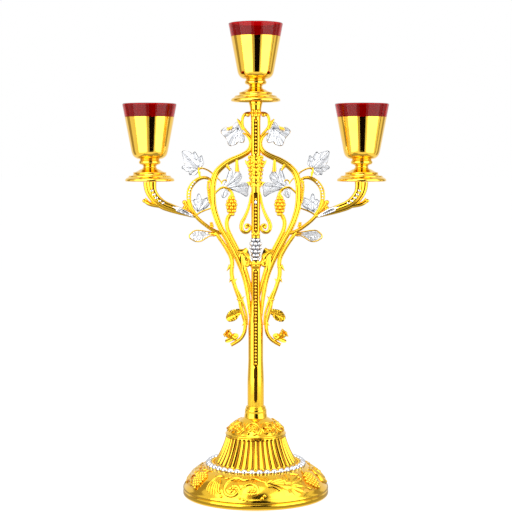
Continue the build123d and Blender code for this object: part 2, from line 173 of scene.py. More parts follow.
def place_piece(
    bm, name, material, nodes=(), body="stand", sharp=38, more_materials=(),
    second_where=None,
):
    """Turns a drawn shape into a piece that rides on its body and stands for its nodes."""
    bmesh.ops.scale(bm, vec=(mm, mm, mm), verts=bm.verts)
    mesh = bpy.data.meshes.new(name)
    bm.to_mesh(mesh)
    bm.free()
    for each in (material, *more_materials):
        mesh.materials.append(each)
    for face in mesh.polygons:
        face.use_smooth = True
        if more_materials and second_where(face.center / mm):
            face.material_index = 1
    mesh.set_sharp_from_angle(angle=math.radians(sharp))
    piece = bpy.data.objects.new(name, mesh)
    scene.collection.objects.link(piece)
    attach(piece, body)
    if nodes:
        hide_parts(*nodes)
    return piece


def curve_mesh(points, radii=None, closed=False, detail=8, section=None, sides=3):
    """Mesh of a smooth curve through the points, a line when it has no radii. A third value of 0 makes a corner."""
    curve = bpy.data.curves.new("route", "CURVE")
    curve.dimensions = "3D"
    curve.resolution_u = detail
    spline = curve.splines.new("BEZIER")
    spline.bezier_points.add(len(points) - 1)
    for knot, point in zip(spline.bezier_points, points):
        knot.co = point[:3]
        handle = "VECTOR" if len(point) > 3 else "AUTO"
        knot.handle_left_type = knot.handle_right_type = handle
    spline.use_cyclic_u = closed
    if radii:
        for knot, radius in zip(spline.bezier_points, radii):
            knot.radius = radius
        curve.use_fill_caps = True
        if section:
            curve.bevel_mode = "OBJECT"
            curve.bevel_object = section
        else:
            curve.bevel_depth = 1.0
            curve.bevel_resolution = sides
    holder = bpy.data.objects.new("route", curve)
    scene.collection.objects.link(holder)
    if section:
        bpy.context.view_layer.update()
        graph = bpy.context.evaluated_depsgraph_get()
        mesh = bpy.data.meshes.new_from_object(holder.evaluated_get(graph), depsgraph=graph)
    else:
        mesh = bpy.data.meshes.new_from_object(holder)
    bpy.data.objects.remove(holder)
    bpy.data.curves.remove(curve)
    return mesh


def keeled_section():
    """Section of a cast vine: a keel along the front, the back and each side, and a groove between them."""
    curve = bpy.data.curves.new("keeled_section", "CURVE")
    curve.dimensions = "2D"
    spline = curve.splines.new("POLY")
    count, keel_depth, groove_depth, groove_sharpness = 40, 0.12, 0.26, 14
    spline.points.add(count - 1)
    for i, point in enumerate(spline.points):
        angle = 2 * math.pi * i / count
        between = abs(math.sin(2 * angle))
        reach = 1 - keel_depth * between - groove_depth * between ** groove_sharpness
        point.co = (reach * math.cos(angle), reach * math.sin(angle), 0, 1)
    spline.use_cyclic_u = True
    holder = bpy.data.objects.new("keeled_section", curve)
    scene.collection.objects.link(holder)
    return holder


keel = keeled_section()


def welded(mesh):
    """The mesh as a part of its own, with its seams closed."""
    part = bmesh.new()
    part.from_mesh(mesh)
    bpy.data.meshes.remove(mesh)
    bmesh.ops.remove_doubles(part, verts=part.verts, dist=weld_distance)
    return part


def move_into(bm, part):
    """Adds a part to a shape and frees it."""
    mesh = bpy.data.meshes.new("part")
    part.to_mesh(mesh)
    part.free()
    bm.from_mesh(mesh)
    bpy.data.meshes.remove(mesh)


def add_mesh(bm, mesh):
    """Adds a mesh to a shape, with its faces outwards."""
    part = welded(mesh)
    bmesh.ops.recalc_face_normals(part, faces=part.faces)
    move_into(bm, part)


def rod(bm, points, radii, side=1, lift=column_foot, y=0.0, section=None, closed=False, detail=8, sides=3):
    """Rod through points of (distance from the axis, height) or (distance, height, depth)."""
    route = [(side * p[0], y + (p[2] if len(p) > 2 else 0.0), p[1] + lift) for p in points]
    if isinstance(radii, (int, float)):
        radii = [radii] * len(points)
    add_mesh(bm, curve_mesh(route, radii, closed, detail, section, sides))


def bead(bm, place, radius, stretch=(1, 1, 1), turn=None, fine=False):
    """Small ball, squashed or turned where asked."""
    matrix = Matrix.Translation(place) @ (turn or Matrix.Identity(4)) @ Matrix.Diagonal((*stretch, 1))
    across, rows = (20, 12) if fine else (10, 7)
    ball = bmesh.new()
    bmesh.ops.create_uvsphere(ball, u_segments=across, v_segments=rows, radius=radius, matrix=matrix)
    move_into(bm, ball)


def bead_ring(bm, count, ring_r, height, bead_r, first=0.0, fine=False):
    """Ring of beads about the axis, the first one at a share of the pitch from the front."""
    for i in range(count):
        angle = 2 * math.pi * (i + first) / count
        bead(bm, (ring_r * math.sin(angle), -ring_r * math.cos(angle), height), bead_r, fine=fine)


def turned(bm, points, steps=turning_steps, x=0.0, z=0.0, detail=6):
    """Turned shape from a profile of (radius, height), closed. A third value makes a smooth point."""
    route = [(p[0], 0.0, p[1] + z) if len(p) > 2 else (p[0], 0.0, p[1] + z, 0) for p in points]
    part = welded(curve_mesh(route, closed=True, detail=detail))
    bmesh.ops.spin(
        part, geom=part.verts[:] + part.edges[:], cent=(0, 0, 0), axis=(0, 0, 1), dvec=(0, 0, 0),
        angle=2 * math.pi, steps=steps, use_merge=True,
    )
    bmesh.ops.remove_doubles(part, verts=part.verts, dist=2 * weld_distance)
    bmesh.ops.recalc_face_normals(part, faces=part.faces)
    bmesh.ops.translate(part, vec=(x, 0, 0), verts=part.verts)
    move_into(bm, part)


def veined_leaf(
    bm, outline, base, tips, side=1, lift=column_foot, y=0.0, dome=1.2, pleat=1.0, vein=0.5, thick=0.9,
    rings=(1, 0.93, 0.84, 0.72, 0.6, 0.47, 0.34, 0.2, 0.09), detail=4, twist=0.0,
):
    """Leaf blade drawn in from its outline to the foot of its veins, pleated between them and cupped."""
    pleat_width, groove_width, flat_foot = 2.8, 0.55, 5.0
    part = welded(curve_mesh([(side * p[0], 0.0, p[1] + lift) for p in outline], closed=True, detail=detail))
    foot = Vector((side * base[0], 0.0, base[1] + lift))
    veins = [Vector((side * p[0], 0.0, p[1] + lift)) - foot for p in tips]
    edge_ring = part.edges[:]
    reach_of = {v: 1.0 for v in part.verts}
    for outer, inner in zip(rings, rings[1:]):
        made = bmesh.ops.extrude_edge_only(part, edges=edge_ring)["geom"]
        ring_verts = [g for g in made if isinstance(g, bmesh.types.BMVert)]
        edge_ring = [g for g in made if isinstance(g, bmesh.types.BMEdge) and all(v in ring_verts for v in g.verts)]
        share = inner / outer
        bmesh.ops.scale(part, vec=(share, share, share), space=Matrix.Translation(-foot), verts=ring_verts)
        for v in ring_verts:
            reach_of[v] = inner
    bmesh.ops.contextual_create(part, geom=edge_ring)
    for vert in part.verts:
        arm = vert.co - foot
        nearest = min(
            (arm - ray * min(max(arm.dot(ray) / ray.length_squared, 0.0), 1.0)).length for ray in veins
        )
        reach = reach_of.get(vert, 0.0)
        rise = pleat * (1 - math.exp(-((nearest / pleat_width) ** 2))) * min(1.0, arm.length / flat_foot)
        groove = vein * math.exp(-((nearest / groove_width) ** 2))
        vert.co.y = y + dome * reach * reach - rise + groove + twist * arm.x
    made = bmesh.ops.extrude_face_region(part, geom=part.faces[:], use_keep_orig=True)["geom"]
    back = [g for g in made if isinstance(g, bmesh.types.BMVert)]
    bmesh.ops.translate(part, vec=(0, thick, 0), verts=back)
    bmesh.ops.recalc_face_normals(part, faces=part.faces)
    move_into(bm, part)


def leaf_lines(bm, blade, outline, base, tips, side, edge_y, width=0.36):
    """Vein lines painted dark as shade on both faces of a blade, each with a pair of side veins, and a painted shade
    line along its edge.
    """
    samples, outside, taper = 5, 40.0, 0.12
    faces = BVHTree.FromBMesh(blade)
    curve = bpy.data.curves.new("veins", "CURVE")
    curve.dimensions = "3D"
    curve.bevel_depth = 1.0
    curve.bevel_resolution = 1
    curve.use_fill_caps = True
    foot = Vector(base)
    for tip in tips:
        ray = Vector(tip) - foot
        strokes = [(foot, ray * 0.95, 1.0)]
        for turn in (-36, 36):
            strokes.append((foot + ray * 0.48, Matrix.Rotation(math.radians(turn), 2) @ ray * 0.24, 0.7))
        for start, run, weight in strokes:
            for face in (-1, 1):
                hits = []
                for step in range(samples + 1):
                    place = start + run * (step / samples)
                    above = Vector((side * place.x, face * outside, place.y + column_foot))
                    hit = faces.ray_cast(above, Vector((0, -face, 0)))[0]
                    if hit:
                        hits.append((hit, width * weight * (1 - taper * step)))
                if len(hits) < 3:
                    continue
                spline = curve.splines.new("POLY")
                spline.points.add(len(hits) - 1)
                for knot, (place, radius) in zip(spline.points, hits):
                    knot.co = (*place, 1)
                    knot.radius = radius
    holder = bpy.data.objects.new("veins", curve)
    mesh = bpy.data.meshes.new_from_object(holder)
    bpy.data.objects.remove(holder)
    bpy.data.curves.remove(curve)
    add_mesh(bm, mesh)
    rod(bm, outline, width * 1.1, side, y=edge_y, closed=True, detail=3, sides=1)


def berry_bunch(bm, rings, low, berry, pitch, x=0.0):
    """Bunch of berries in staggered rings, each pressed a little into the next."""
    fewest, pressed = 4, 0.95
    for row, ring in enumerate(rings):
        count = max(fewest, round(2 * math.pi * ring / (berry * 2 * pressed)))
        for i in range(count):
            angle = 2 * math.pi * (i + 0.5 * (row % 2)) / count - math.pi / 2
            place = (x + ring * math.cos(angle), ring * math.sin(angle), low + pitch * (row + 0.5))
            bead(bm, place, berry)


# Foot: a hollow domed casting with a polished rim

foot_slope_low = (86.9, 8.0)
foot_slope_high = (60.5, 35.0)
foot_crown = 3.9


def foot_surface(share):
    """Radius, height and outward direction on the foot's slope, from its rim at 0 to the pearls at 1."""
    run = Vector(foot_slope_high) - Vector(foot_slope_low)
    outward = Vector((run.y, -run.x)).normalized()
    crown = foot_crown * (1 - (2 * share - 1) ** 2)
    place = Vector(foot_slope_low) + run * share + outward * crown
    tilt = run.normalized() * (foot_crown * 4 * (2 * share - 1) / run.length)
    return place, (outward + tilt).normalized()


def cap_surface(share):
    """Radius, height and outward direction on the bell cap, from its lip at 0 to the collar at 1."""
    low, high, crown_h = Vector((35.4, 75.4)), Vector((13.8, 92.5)), 1.5
    run = high - low
    outward = Vector((run.y, -run.x)).normalized()
    place = low + run * share + outward * crown_h * (1 - (2 * share - 1) ** 2)
    tilt = run.normalized() * (crown_h * 4 * (2 * share - 1) / run.length)
    return place, (outward + tilt).normalized()


def wrap_on(bm, part, surface, slope_length, turn_degrees, centre_share, size=1.0):
    """Bends a flat ornament (X around, Y up the slope, Z out) on to a turned surface, and adds it."""
    lowest, highest = 0.06, 1.0
    middle, _ = surface(centre_share)
    for vert in part.verts:
        around, up, out = vert.co.x * size, vert.co.y * size, vert.co.z
        place, outward = surface(min(max(centre_share + up / slope_length, lowest), highest))
        angle = math.radians(turn_degrees) + around / middle.x
        radius = place.x + outward.x * out
        vert.co = (radius * math.sin(angle), -radius * math.cos(angle), place.y + outward.y * out)
    move_into(bm, part)


foot = bmesh.new()
slope = [(*foot_surface(step / 6)[0], 1) for step in range(6)]
turned(foot, [
    (3.2, 32.6), (58, 32.6), (70, 27.6, 1), (79, 19.5, 1), (84.3, 9.0), (84.3, 0), (85.7, 0), (86.6, 0.9, 1),
    (86.95, 3.2, 1), (86.6, 6.0, 1), (85.9, 6.9), *slope, foot_slope_high, (3.2, 35.0),
], steps=192)


def on_satin_ground(place):
    """The matt ground behind each bunch of grapes and its leaf."""
    middle, reach, low, high, inside = -76, 20, 15, 34.6, 60
    bearing = math.degrees(math.atan2(place.x, -place.y))
    off = (bearing - middle + 60) % 120 - 60
    return abs(off) < reach and low < place.z < high and math.hypot(place.x, place.y) > inside


place_piece(
    foot, "foot_shell", gold_plate, ["foot"], more_materials=[satin_gold], second_where=on_satin_ground,
)


def flat_rod(bm, points, radii, detail=8, sides=2):
    """Raised line of a flat ornament."""
    line_height, line_weight = 0.4, 1.25
    route = [(p[0], p[1], line_height) for p in points]
    add_mesh(bm, curve_mesh(route, [r * line_weight for r in radii], False, detail, None, sides))


def scroll_points(x, y, start, end, begin_r, end_r, count=9):
    """Points of a spiral from one radius to another, angles in degrees."""
    points = []
    for i in range(count):
        share = i / (count - 1)
        angle = math.radians(start + (end - start) * share)
        radius = begin_r + (end_r - begin_r) * share
        points.append((x + radius * math.cos(angle), y + radius * math.sin(angle)))
    return points


def flat_leaf(bm, outline, base, tips, height):
    """Raised leaf of a flat ornament, veined."""
    part = bmesh.new()
    veined_leaf(
        part, outline, base, tips, lift=0.0, dome=0.7, pleat=0.9, vein=0.8, thick=2.6, detail=3,
        rings=(1, 0.9, 0.75, 0.58, 0.4, 0.22, 0.1),
    )
    for vert in part.verts:
        vert.co = (vert.co.x, vert.co.z, height - vert.co.y)
    bmesh.ops.recalc_face_normals(part, faces=part.faces)
    move_into(bm, part)


def cluster(bm, rows, berry):
    """Half-sunk bunch of grapes, widest at the top."""
    for row, count in enumerate(rows):
        for i in range(count):
            across = (i - (count - 1) / 2) * berry * 1.8
            out = berry * (0.1 + 0.6 * math.cos(math.pi * across / (berry * 14)))
            bead(bm, (across, -row * berry * 1.5, out), berry)


foot_slope_length = (Vector(foot_slope_high) - Vector(foot_slope_low)).length
vine_leaf_outline = [
    (0, -9), (2.2, -6.2), (5.6, -8.2), (7.0, -4.8), (11.2, -4.6), (9.6, -0.6), (12.6, 3.0), (8.6, 4.2), (8.8, 9.0),
    (4.6, 8.0), (2.6, 12.5), (0, 9.6), (-2.6, 12.5), (-4.6, 8.0), (-8.8, 9.0), (-8.6, 4.2), (-12.6, 3.0),
    (-9.6, -0.6), (-11.2, -4.6), (-7.0, -4.8), (-5.6, -8.2), (-2.2, -6.2),
]
vine_leaf_tips = [(0, 9.6), (8.8, 9.0), (-8.8, 9.0), (12.6, 3.0), (-12.6, 3.0), (11.2, -4.6), (-11.2, -4.6)]
long_leaf_outline = [
    (-15, 5), (-11, 8.4), (-6, 7.4), (-2, 9.2), (2, 6.4), (7, 7.2), (10, 3.8), (15, 3.4), (19, -1.5), (14, -3.6),
    (10, -2.6), (6, -5.8), (1, -4.4), (-4, -6.6), (-8, -2.4), (-13, -1.2),
]
long_leaf_tips = [(19, -1.5), (10, 3.8), (7, 7.2), (-2, 9.2), (6, -5.8), (-4, -6.6)]

foot_relief = bmesh.new()
for repeat in range(3):
    turn = 120 * repeat
    # Bunch of grapes with two leaves above it
    part = bmesh.new()
    cluster(part, (3, 5, 6, 5, 4, 3, 1), 1.9)
    bmesh.ops.rotate(part, cent=(0, 0, 0), matrix=Matrix.Rotation(math.radians(18), 3, "Z"), verts=part.verts)
    bmesh.ops.translate(part, vec=(0, 8, 0), verts=part.verts)
    flat_rod(part, [(-1, 9), (2, 13), (8, 14.5)], [1.2, 0.9, 0.6])
    wrap_on(foot_relief, part, foot_surface, foot_slope_length, turn - 63, 0.50, 1.2)
    # Vine leaf beside the bunch
    part = bmesh.new()
    flat_leaf(part, vine_leaf_outline, (0, -6), vine_leaf_tips, 1.5)
    bmesh.ops.rotate(part, cent=(0, 0, 0), matrix=Matrix.Rotation(math.radians(-70), 3, "Z"), verts=part.verts)
    wrap_on(foot_relief, part, foot_surface, foot_slope_length, turn - 86, 0.55, 1.25)
    # Fan of ribs
    part = bmesh.new()
    for rib in range(6):
        lean = (rib - 2.5) * 2.4
        flat_rod(
            part, [(lean * 0.35, 9), (lean * 0.8, 3), (lean * 1.1 + 1, -5), (lean * 1.2 + 3, -11 + abs(lean) * 0.5)],
            [0.6, 1.15, 1.0, 0.4],
        )
    flat_rod(part, [(-9, 12), (-3, 10), (4, 11.5), (11, 9), (15, 12)], [0.4, 1.1, 1.3, 1.0, 0.4])
    wrap_on(foot_relief, part, foot_surface, foot_slope_length, turn - 39, 0.50, 1.2)
    # Scrolls around a flower
    part = bmesh.new()
    flat_rod(part, scroll_points(-9, -1, 80, 470, 10.5, 2.2, 15), [0.5, 0.9] + [1.25] * 12 + [0.8])
    flat_rod(part, scroll_points(7, -3, 200, -120, 9.5, 2.0, 13), [0.5, 0.9] + [1.15] * 10 + [0.7])
    flat_rod(part, [(-16, 8), (-9, 11), (0, 8.5), (8, 10.5), (16, 7)], [0.4, 1.1, 1.2, 1.0, 0.4])
    for petal in range(6):
        angle = math.radians(60 * petal)
        spread = Matrix.Rotation(angle, 4, "Z")
        bead(part, (-9 + 3.0 * math.cos(angle), -1 + 3.0 * math.sin(angle), 0.7), 1.7, (1.25, 0.75, 0.6), spread)
        bead(part, (7 + 2.6 * math.cos(angle), -3 + 2.6 * math.sin(angle), 0.7), 1.5, (1.25, 0.75, 0.6), spread)
    bead(part, (-9, -1, 1.2), 1.4)
    bead(part, (7, -3, 1.2), 1.2)
    for place in ((-2.5, -9), (0.5, -10), (3.2, -10.4), (-20, -6), (-18, -9), (15, -9), (17, -7)):
        bead(part, (*place, 0.5), 1.35)
    wrap_on(foot_relief, part, foot_surface, foot_slope_length, turn - 10, 0.48, 1.35)
    # Long veined leaf and its tendrils
    part = bmesh.new()
    flat_leaf(part, long_leaf_outline, (-13, 2), long_leaf_tips, 1.6)
    flat_rod(part, [(-19, 6), (-12, 3), (0, 1.5), (10, 0.6), (17, -1)], [0.4, 0.9, 0.8, 0.6, 0.3])
    flat_rod(part, scroll_points(22, 2, 220, -60, 6.5, 1.6, 9), [0.5] + [0.95] * 7 + [0.7])
    flat_rod(part, [(12, 10), (18, 11.5), (26, 9), (31, 12)], [0.4, 1.0, 1.0, 0.4])
    flat_rod(part, [(20, -8), (25, -6), (30, -9), (33, -6)], [0.4, 0.9, 0.9, 0.4])
    wrap_on(foot_relief, part, foot_surface, foot_slope_length, turn + 23, 0.56, 1.25)
place_piece(foot_relief, "foot_vine_relief", gold_plate, sharp=50)

# Pearls on a wire, and the row of small gold beads inside it
pearls = bmesh.new()
bead_ring(pearls, count=40, ring_r=56, height=37.1, bead_r=4.0, first=0.5, fine=True)
turned(pearls, [(54.6, 37.1, 1), (56, 38.5, 1), (57.4, 37.1, 1), (56, 35.7, 1)], steps=96)
place_piece(pearls, "pearl_row", silver_plate, ["pearl_ring"])
inner_beads = bmesh.new()
bead_ring(inner_beads, count=60, ring_r=51.6, height=37.6, bead_r=2.2)
place_piece(inner_beads, "bell_foot_beads", gold_plate)


# Fluted bell

bell = bmesh.new()
bell_line = [(51.3, 35), (48.6, 40, 1), (45.2, 46, 1), (42.0, 52.3, 1), (39.4, 58.4, 1), (37.2, 64.4, 1),
             (35.9, 69, 1), (35.4, 72)]
flute_count = 40
flute_low, flute_high = 38.6, 71.2
flute_depth, flute_half_width, flute_end = 1.9, 0.40, 2.4
bell_wall, steps_per_flute = 1.0, 12
turned(bell, bell_line + [(32.8, 72), (38, 55, 1), (48.7, 35)], steps=flute_count * steps_per_flute, detail=7)


def bell_radius(height):
    """Radius of the bell's flank at a height, without its flutes."""
    for (low_r, low_h, *_), (high_r, high_h, *_) in zip(bell_line, bell_line[1:]):
        if height <= high_h:
            return low_r + (high_r - low_r) * (height - low_h) / (high_h - low_h)
    return bell_line[-1][0]


for vert in bell.verts:
    radius = math.hypot(vert.co.x, vert.co.y)
    height = vert.co.z
    if not flute_low < height < flute_high or radius < bell_radius(height) - bell_wall:
        continue
    turn = math.atan2(vert.co.x, -vert.co.y) * flute_count / (2 * math.pi)
    off = abs(turn - math.floor(turn) - 0.5) / flute_half_width
    end = min(1.0, (height - flute_low) / flute_end, (flute_high - height) / flute_end)
    width = math.sqrt(1 - (1 - end) ** 2)
    if off < width:
        sink = flute_depth * (1 - (off / width) ** 2) * width
        vert.co.x *= 1 - sink / radius
        vert.co.y *= 1 - sink / radius


def in_flute_painted_shade(place):
    """Deep in a flute, not on the hollow inside of the bell, where the flute's painted shade goes."""
    shallowest, deepest = 1.0, 2.15
    sunk = bell_radius(place.z) - math.hypot(place.x, place.y)
    return shallowest < sunk < deepest and flute_low < place.z < flute_high


# Flute bottoms take the amber gold: painted shade.
place_piece(
    bell, "bell_fluted", gold_plate, ["fluted_bell"], sharp=60, more_materials=[flute_painted_shade_gold], second_where=in_flute_painted_shade,
)

# Bell cap with round scroll medallions
cap = bmesh.new()
cap_line = [(*cap_surface(step / 5)[0], 1) for step in range(1, 5)]
turned(cap, [
    (35.4, 72), (36.1, 72.7, 1), (36.2, 73.9, 1), (35.3, 74.8), *cap_line, (13.8, 92.5),
    (3.2, 92.5), (3.2, 90), (12, 90), (32.6, 75), (32.6, 72),
])
cap_slope_length = 27.0
medallions = 9
for repeat in range(medallions):
    part = bmesh.new()
    flat_rod(part, scroll_points(0, 0, -80, 250, 8.6, 7.8, 13), [0.6] + [1.05] * 11 + [1.5])
    flat_rod(part, scroll_points(0, 0, -70, 170, 5.9, 5.3, 9), [0.3] + [0.6] * 7 + [0.9])
    for petal in range(5):
        angle = math.radians(72 * petal + 18)
        bead(
            part, (2.7 * math.cos(angle), 2.7 * math.sin(angle), 0.6), 2.0, (1.1, 0.8, 0.7),
            Matrix.Rotation(angle, 4, "Z"),
        )
    bead(part, (0, 0, 1.2), 1.4)
    flat_rod(part, [(8.4, -8), (10.2, -3), (9.4, 4), (10.4, 9)], [0.4, 0.9, 0.8, 0.3])
    wrap_on(cap, part, cap_surface, cap_slope_length, 360 / medallions * repeat - 8.5, 0.38)
place_piece(cap, "bell_cap_medallions", gold_plate, ["bell_cap"], sharp=50)

# Collar under the column
collar = bmesh.new()
turned(collar, [
    (3.2, 92.5), (13.8, 92.5), (13.6, 94.5, 1), (13.1, 97.5, 1), (13.0, 101.2, 1), (12.8, 102.4), (12.0, 103.0, 1),
    (11.7, 103.7), (12.0, 104.5, 1), (11.6, 105.5, 1), (11.0, 106), (3.2, 106),
])
place_piece(collar, "column_collar_turned", gold_plate, ["column_collar"])

for name in ("tie_rod", "base_washer", "base_nut", "cup_screws"):
    node_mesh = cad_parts[name].data
    node_mesh.materials.clear()
    node_mesh.materials.append(plain_steel)


# Columns with a beaded channel front and back

channel_core = 2.5


def cut_channel(bm, half_width, depth, low, high):
    """Sinks a round-ended channel into the front and the back of a turned column."""
    for vert in bm.verts:
        height = vert.co.z
        if not low < height < high or abs(vert.co.y) < channel_core:
            continue
        end = min(1.0, (height - low) / half_width, (high - height) / half_width)
        width = half_width * math.sqrt(max(0.0, 1 - (1 - end) ** 2))
        if abs(vert.co.x) < width:
            vert.co.y = math.copysign(abs(vert.co.y) - depth, vert.co.y)


def bead_chain(bm, radius, low, high, pitch, column_r_at, sink):
    """Row of beads down the front and the back."""
    count = int((high - low) / pitch)
    for i in range(count + 1):
        height = low + (high - low) * i / count
        for face in (-1, 1):
            bead(bm, (0, face * (column_r_at(height) - sink), height), radius)


def lower_radius(height):
    """Radius of the lower column at a height."""
    local = height - column_foot
    steps = ((31, 9.9), (55, 8.9), (97, 8.9), (128, 5.3), (175, 5.3))
    for (low_h, low_r), (high_h, high_r) in zip(steps, steps[1:]):
        if low_h <= local <= high_h:
            return low_r + (high_r - low_r) * (local - low_h) / (high_h - low_h)
    return 9.9


lower = bmesh.new()
lower_points = [(0, 106), (9.9, 106)]
for row in range(1, 30):
    height = 106 + row * 5.5
    if height < 270:
        lower_points.append((lower_radius(height), height, 1))
lower_points += [(5.4, 271), (6.4, 272.6, 1), (6.9, 275, 1), (6.6, 278.5, 1), (6.2, 279.5), (0, 279.5)]
turned(lower, lower_points, steps=96, detail=4)
cut_channel(lower, half_width=1.9, depth=1.6, low=112.5, high=152)
cut_channel(lower, half_width=2.7, depth=1.7, low=155, high=269)


def in_channel_painted_shade(place):
    """Inside the channel of a column, front or back, where the channel's painted shade goes."""
    half_width, shallowest, low, high = 2.6, 0.75, 108, 449
    lower_top, upper_r = 280, 5.5
    radius = lower_radius(place.z) if place.z < lower_top else upper_r
    across, in_out = abs(place.x), abs(place.y)
    return across < half_width and channel_core < in_out < radius - shallowest and low < place.z < high


# Channel faces take the dark brown gold: painted shade.
place_piece(
    lower, "lower_column_turned", gold_plate, ["lower_column"], more_materials=[painted_shade_gold], second_where=in_channel_painted_shade,
)
lower_beads = bmesh.new()
bead_chain(lower_beads, radius=1.75, low=157.5, high=267, pitch=3.7, column_r_at=lower_radius, sink=1.2)
bead_ring(lower_beads, count=12, ring_r=6.4, height=276.4, bead_r=1.9)
place_piece(lower_beads, "lower_column_beads", gold_plate)

silver_grapes = bmesh.new()
berry_bunch(silver_grapes, (2.0, 3.4, 4.6, 5.3, 5.4, 3.8), low=279.5, berry=2.45, pitch=4.6)
for flank in (-1, 1):
    rod(silver_grapes, [(3.6, 171), (6.4, 176), (9.2, 183.6)], [1.2, 1.9, 0.4], flank, y=-1.0)
grape_core = bmesh.new()
turned(grape_core, [(0, 279.5), (2.2, 279.5), (4.9, 290, 1), (5.7, 302, 1), (4.2, 307.1), (0, 307.1)], steps=32)
# The core between the berries is dark silver: painted shade.
place_piece(grape_core, "silver_grape_core_painted_shade", painted_shade_silver)
place_piece(silver_grapes, "silver_grape_bunch", silver_plate, ["silver_grapes"])

upper = bmesh.new()
upper_points = [(0, 307.1), (5.3, 307.1)]
upper_points += [(5.3, 312 + 8.9 * row, 1) for row in range(11)]
upper_points += [(5.4, 403.5), (5.7, 404.5)] + [(5.7, 408 + 6.0 * row, 1) for row in range(7)]
upper_points += [(5.9, 449, 1), (6.3, 456, 1), (7.3, 463.5, 1), (8.2, 466.3, 1), (8.3, 467.5), (0, 467.5)]
turned(upper, upper_points, steps=96, detail=4)
cut_channel(upper, half_width=2.6, depth=1.7, low=314.5, high=360)
cut_channel(upper, half_width=2.5, depth=1.9, low=406, high=447)
# Channel faces take the dark brown gold: painted shade.
place_piece(
    upper, "upper_column_turned", gold_plate, ["upper_column"], more_materials=[painted_shade_gold], second_where=in_channel_painted_shade,
)
upper_beads = bmesh.new()
bead_chain(upper_beads, radius=1.75, low=317, high=345, pitch=3.7, column_r_at=lambda height: 5.3, sink=1.2)
bead_chain(upper_beads, radius=1.7, low=408, high=445, pitch=3.9, column_r_at=lambda height: 5.7, sink=1.5)
# Bow at the foot of the beaded strip, petals of the boss and the volutes under the top pan
for face in (-1, 1):
    for flank in (-1, 1):
        bead(upper_beads, (flank * 2.3, face * 4.9, 311.6), 2.3, (1.3, 0.7, 0.8),
             Matrix.Rotation(math.radians(-25 * flank), 4, "Y"))
        for height, tilt in ((456.6, 40), (452.2, -40)):
            bead(upper_beads, (flank * 2.4, face * 5.6, height), 2.4, (1.1, 0.6, 1.0),
                 Matrix.Rotation(math.radians(tilt * flank), 4, "Y"))
    bead(upper_beads, (0, face * 6.6, 454.4), 1.5)
    bead(upper_beads, (0, face * 4.9, 311.6), 1.6)
    bead(upper_beads, (0, face * 4.6, 353.0), 1.8)
place_piece(upper_beads, "upper_column_beads", gold_plate)
silver_beads = bmesh.new()
for face in (-1, 1):
    bead(silver_beads, (0, face * 4.9, 349.3), 2.3, (0.8, 0.8, 1.2))
place_piece(silver_beads, "upper_column_silver_beads", silver_plate)

crown = bmesh.new()
berry_bunch(crown, (4.9, 5.3, 5.9, 6.6, 7.4, 8.1, 8.3, 6.8), low=366.7, berry=2.35, pitch=4.6)
turned(crown, [(5.4, 366.7), (5.9, 366.7), (7.5, 385, 1), (8.6, 398, 1), (7.6, 403.5), (5.4, 403.5)], steps=48)
for flank in (-1, 1):
    # Leaf tips that stand out beside the crown
    rod(crown, [(7.5, 287.5), (10.3, 289.6), (12.7, 293.2)], [2.6, 1.9, 0.4], flank)
    rod(crown, [(6.4, 264), (8.4, 266.3), (11.0, 266.6)], [2.2, 1.6, 0.4], flank)
    for face in (-1, 1):
        rod(crown, [(3.5, 292), (6.6, 297.2), (9.3, 296.2)], [1.4, 1.9, 0.8], flank, y=face * 5.2)
place_piece(crown, "crown_grape_bunch", gold_plate, ["crown_grapes"])


# Branches, one side and then the other

def silver_leaf(name, lobes):
    """A silver leaf of the side being built: its blade, and the painted shade of its veins and edges."""
    blade, lines = bmesh.new(), bmesh.new()
    for (outline, base, tips), depth, dome in lobes:
        lobe = bmesh.new()
        veined_leaf(lobe, outline, base, tips, side, y=depth, dome=dome, pleat=0.9, vein=0.3)
        leaf_lines(lines, lobe, outline, base, tips, side, edge_y=depth + dome - 0.1)
        move_into(blade, lobe)
    place_piece(blade, node + name + "_blade", satin_silver, [node + name], sharp=75)
    # Vein and edge lines in dark silver: painted shade.
    place_piece(lines, node + name + "_painted_shade_lines", painted_shade_silver)


